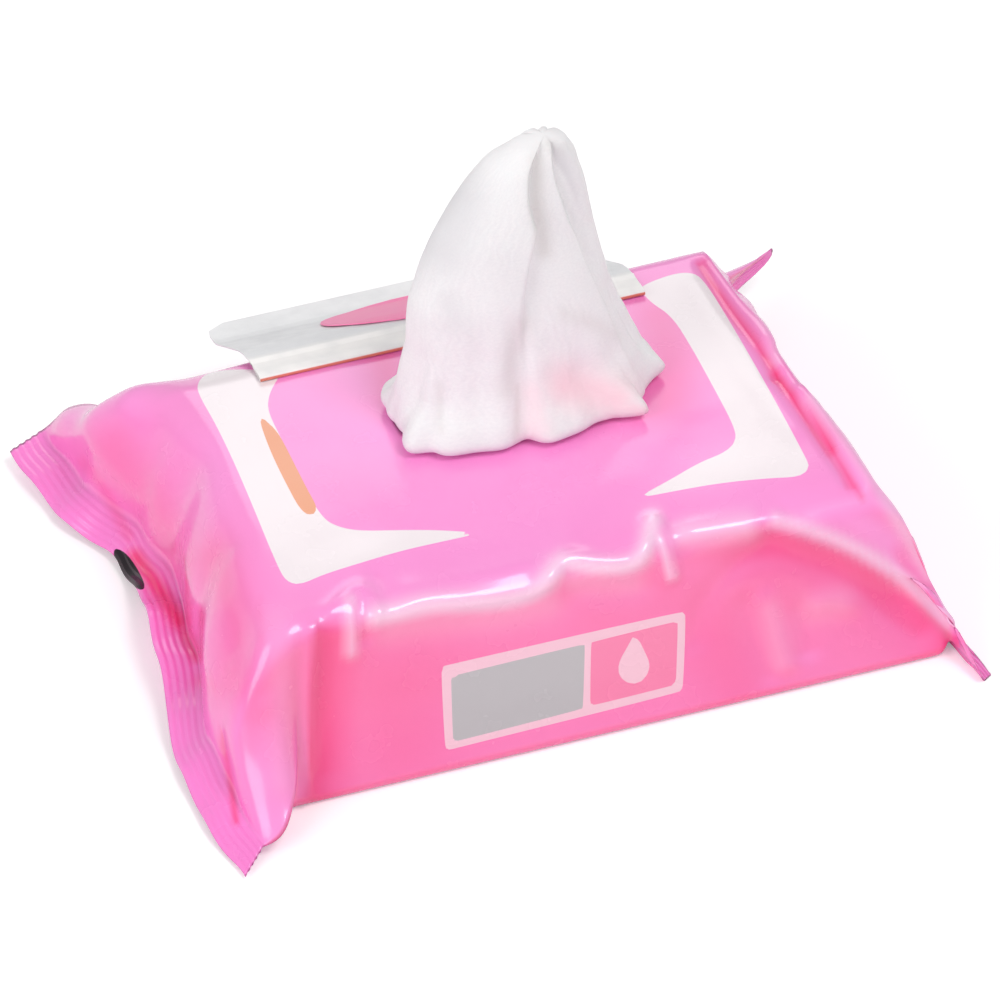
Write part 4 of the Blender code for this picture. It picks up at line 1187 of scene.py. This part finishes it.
def makeClothFinish(name, source):
    # damp nonwoven: faint fibres and small embossed waves
    finish = Finish(name)
    mapping = finish.nodes.new("ShaderNodeMapping")
    finish.join(finish.coordinates.outputs[source], mapping.inputs["Vector"])
    wave = finish.nodes.new("ShaderNodeTexWave")
    wave.wave_type = "BANDS"
    wave.inputs["Scale"].default_value = 120.0
    wave.inputs["Distortion"].default_value = 9.0
    wave.inputs["Detail"].default_value = 1.5
    wave.inputs["Detail Scale"].default_value = 1.6
    finish.join(mapping.outputs[0], wave.inputs["Vector"])
    fibres = finish.grain(1400.0, 4.0, source)
    patches = finish.ramp(finish.grain(45.0, 1.0, source), 0.42, 0.62, 0.25, 1.0)
    embossed = finish.maths("MULTIPLY", wave.outputs["Fac"], patches)
    low = finish.bump(embossed, 0.14, 0.0003)
    fine = finish.bump(fibres, 0.3, 0.00012, low)
    finish.join(fine, finish.shader.inputs["Normal"])
    colour = finish.blend(finish.ramp(fibres, 0.3, 0.7), linear(238, 236, 238), linear(244, 242, 243))
    colour = finish.blend(finish.ramp(embossed, 0.1, 0.8, 0.0, 0.15), colour, linear(228, 225, 229))
    # painted shade and painted pink reflection, laid where the tone attributes are set
    for name, ink in (("shaded", "shade"), ("coolShade", "coolShade"), ("pinkReflection", "pinkReflection")):
        colour = finish.blend(finish.attribute(name), colour, clothColours[ink])
    finish.join(colour, finish.shader.inputs["Base Color"])
    finish.join(finish.ramp(patches, 0.2, 1.0, 0.72, 0.86), finish.shader.inputs["Roughness"])
    finish.shader.inputs["Subsurface Weight"].default_value = 0.12
    finish.shader.inputs["Subsurface Radius"].default_value = (0.004, 0.003, 0.003)
    finish.shader.inputs["Sheen Weight"].default_value = 0.1
    return finish.material


wipe = makePulledWipe()
wipe.data.materials.append(makeClothFinish("pulledWipeCloth", "UV"))
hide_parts("dispensed_wipe")
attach(wipe, "root")
print("pulled wipe made:", len(wipe.data.polygons), "faces")


# folded wipes in the pack keep their solids
stackCloth = makeClothFinish("stackCloth", "Object")
for name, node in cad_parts.items():
    if name.startswith("folded_wipe"):
        node.data.materials.clear()
        node.data.materials.append(stackCloth)
print("stack finished")


# reseal label and the oval of film on it
labelSet = {
    "hinge": 36.0 * mm,
    # where the painted light and shade bands across the flap change along y
    "nearBand": 45.0 * mm,
    "farBand": 72.0 * mm,
    "foldFront": 35.55 * mm,
}


def makeLabelFinish():
    finish = Finish("tackyLabel")
    y = finish.axis("Y")
    # painted light and shade: the near and far bands lighter and the middle band darker, as the flap bends away
    # from the light and back
    near, middle, far = linear(248, 245, 243), linear(234, 234, 236), linear(246, 246, 247)
    colour = finish.blend(finish.ramp(y, labelSet["nearBand"] - 1.5 * mm, labelSet["nearBand"] + 1.5 * mm), near, middle)
    colour = finish.blend(finish.ramp(y, labelSet["farBand"] - 3 * mm, labelSet["farBand"] + 3 * mm), colour, far)
    streak = finish.grain(160.0, 3.0)
    colour = finish.blend(finish.ramp(streak, 0.35, 0.75, 0.0, 0.35), colour, linear(214, 214, 217))
    fold = finish.ramp(y, labelSet["foldFront"], labelSet["foldFront"] - 0.15 * mm)
    colour = finish.blend(fold, colour, linear(226, 128, 108))
    finish.join(colour, finish.shader.inputs["Base Color"])
    finish.join(finish.ramp(streak, 0.3, 0.7, 0.28, 0.5), finish.shader.inputs["Roughness"])
    wide = finish.bump(finish.grain(70.0, 2.0), 0.4, 0.0012)
    finish.join(finish.bump(streak, 0.2, 0.0003, wide), finish.shader.inputs["Normal"])
    return finish.material


def makePatchFinish():
    finish = Finish("patchFilm")
    cloudy = finish.grain(110.0, 3.0)
    colour = finish.blend(finish.ramp(cloudy, 0.3, 0.7), linear(255, 128, 180), linear(255, 144, 190))
    finish.join(colour, finish.shader.inputs["Base Color"])
    finish.join(finish.ramp(cloudy, 0.3, 0.7, 0.35, 0.5), finish.shader.inputs["Roughness"])
    finish.join(finish.bump(cloudy, 0.3, 0.0006), finish.shader.inputs["Normal"])
    return finish.material


for name, material in (("reseal_label", makeLabelFinish()), ("die_cut_patch", makePatchFinish())):
    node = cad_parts[name]
    node.data.materials.clear()
    node.data.materials.append(material)
print("label finished")
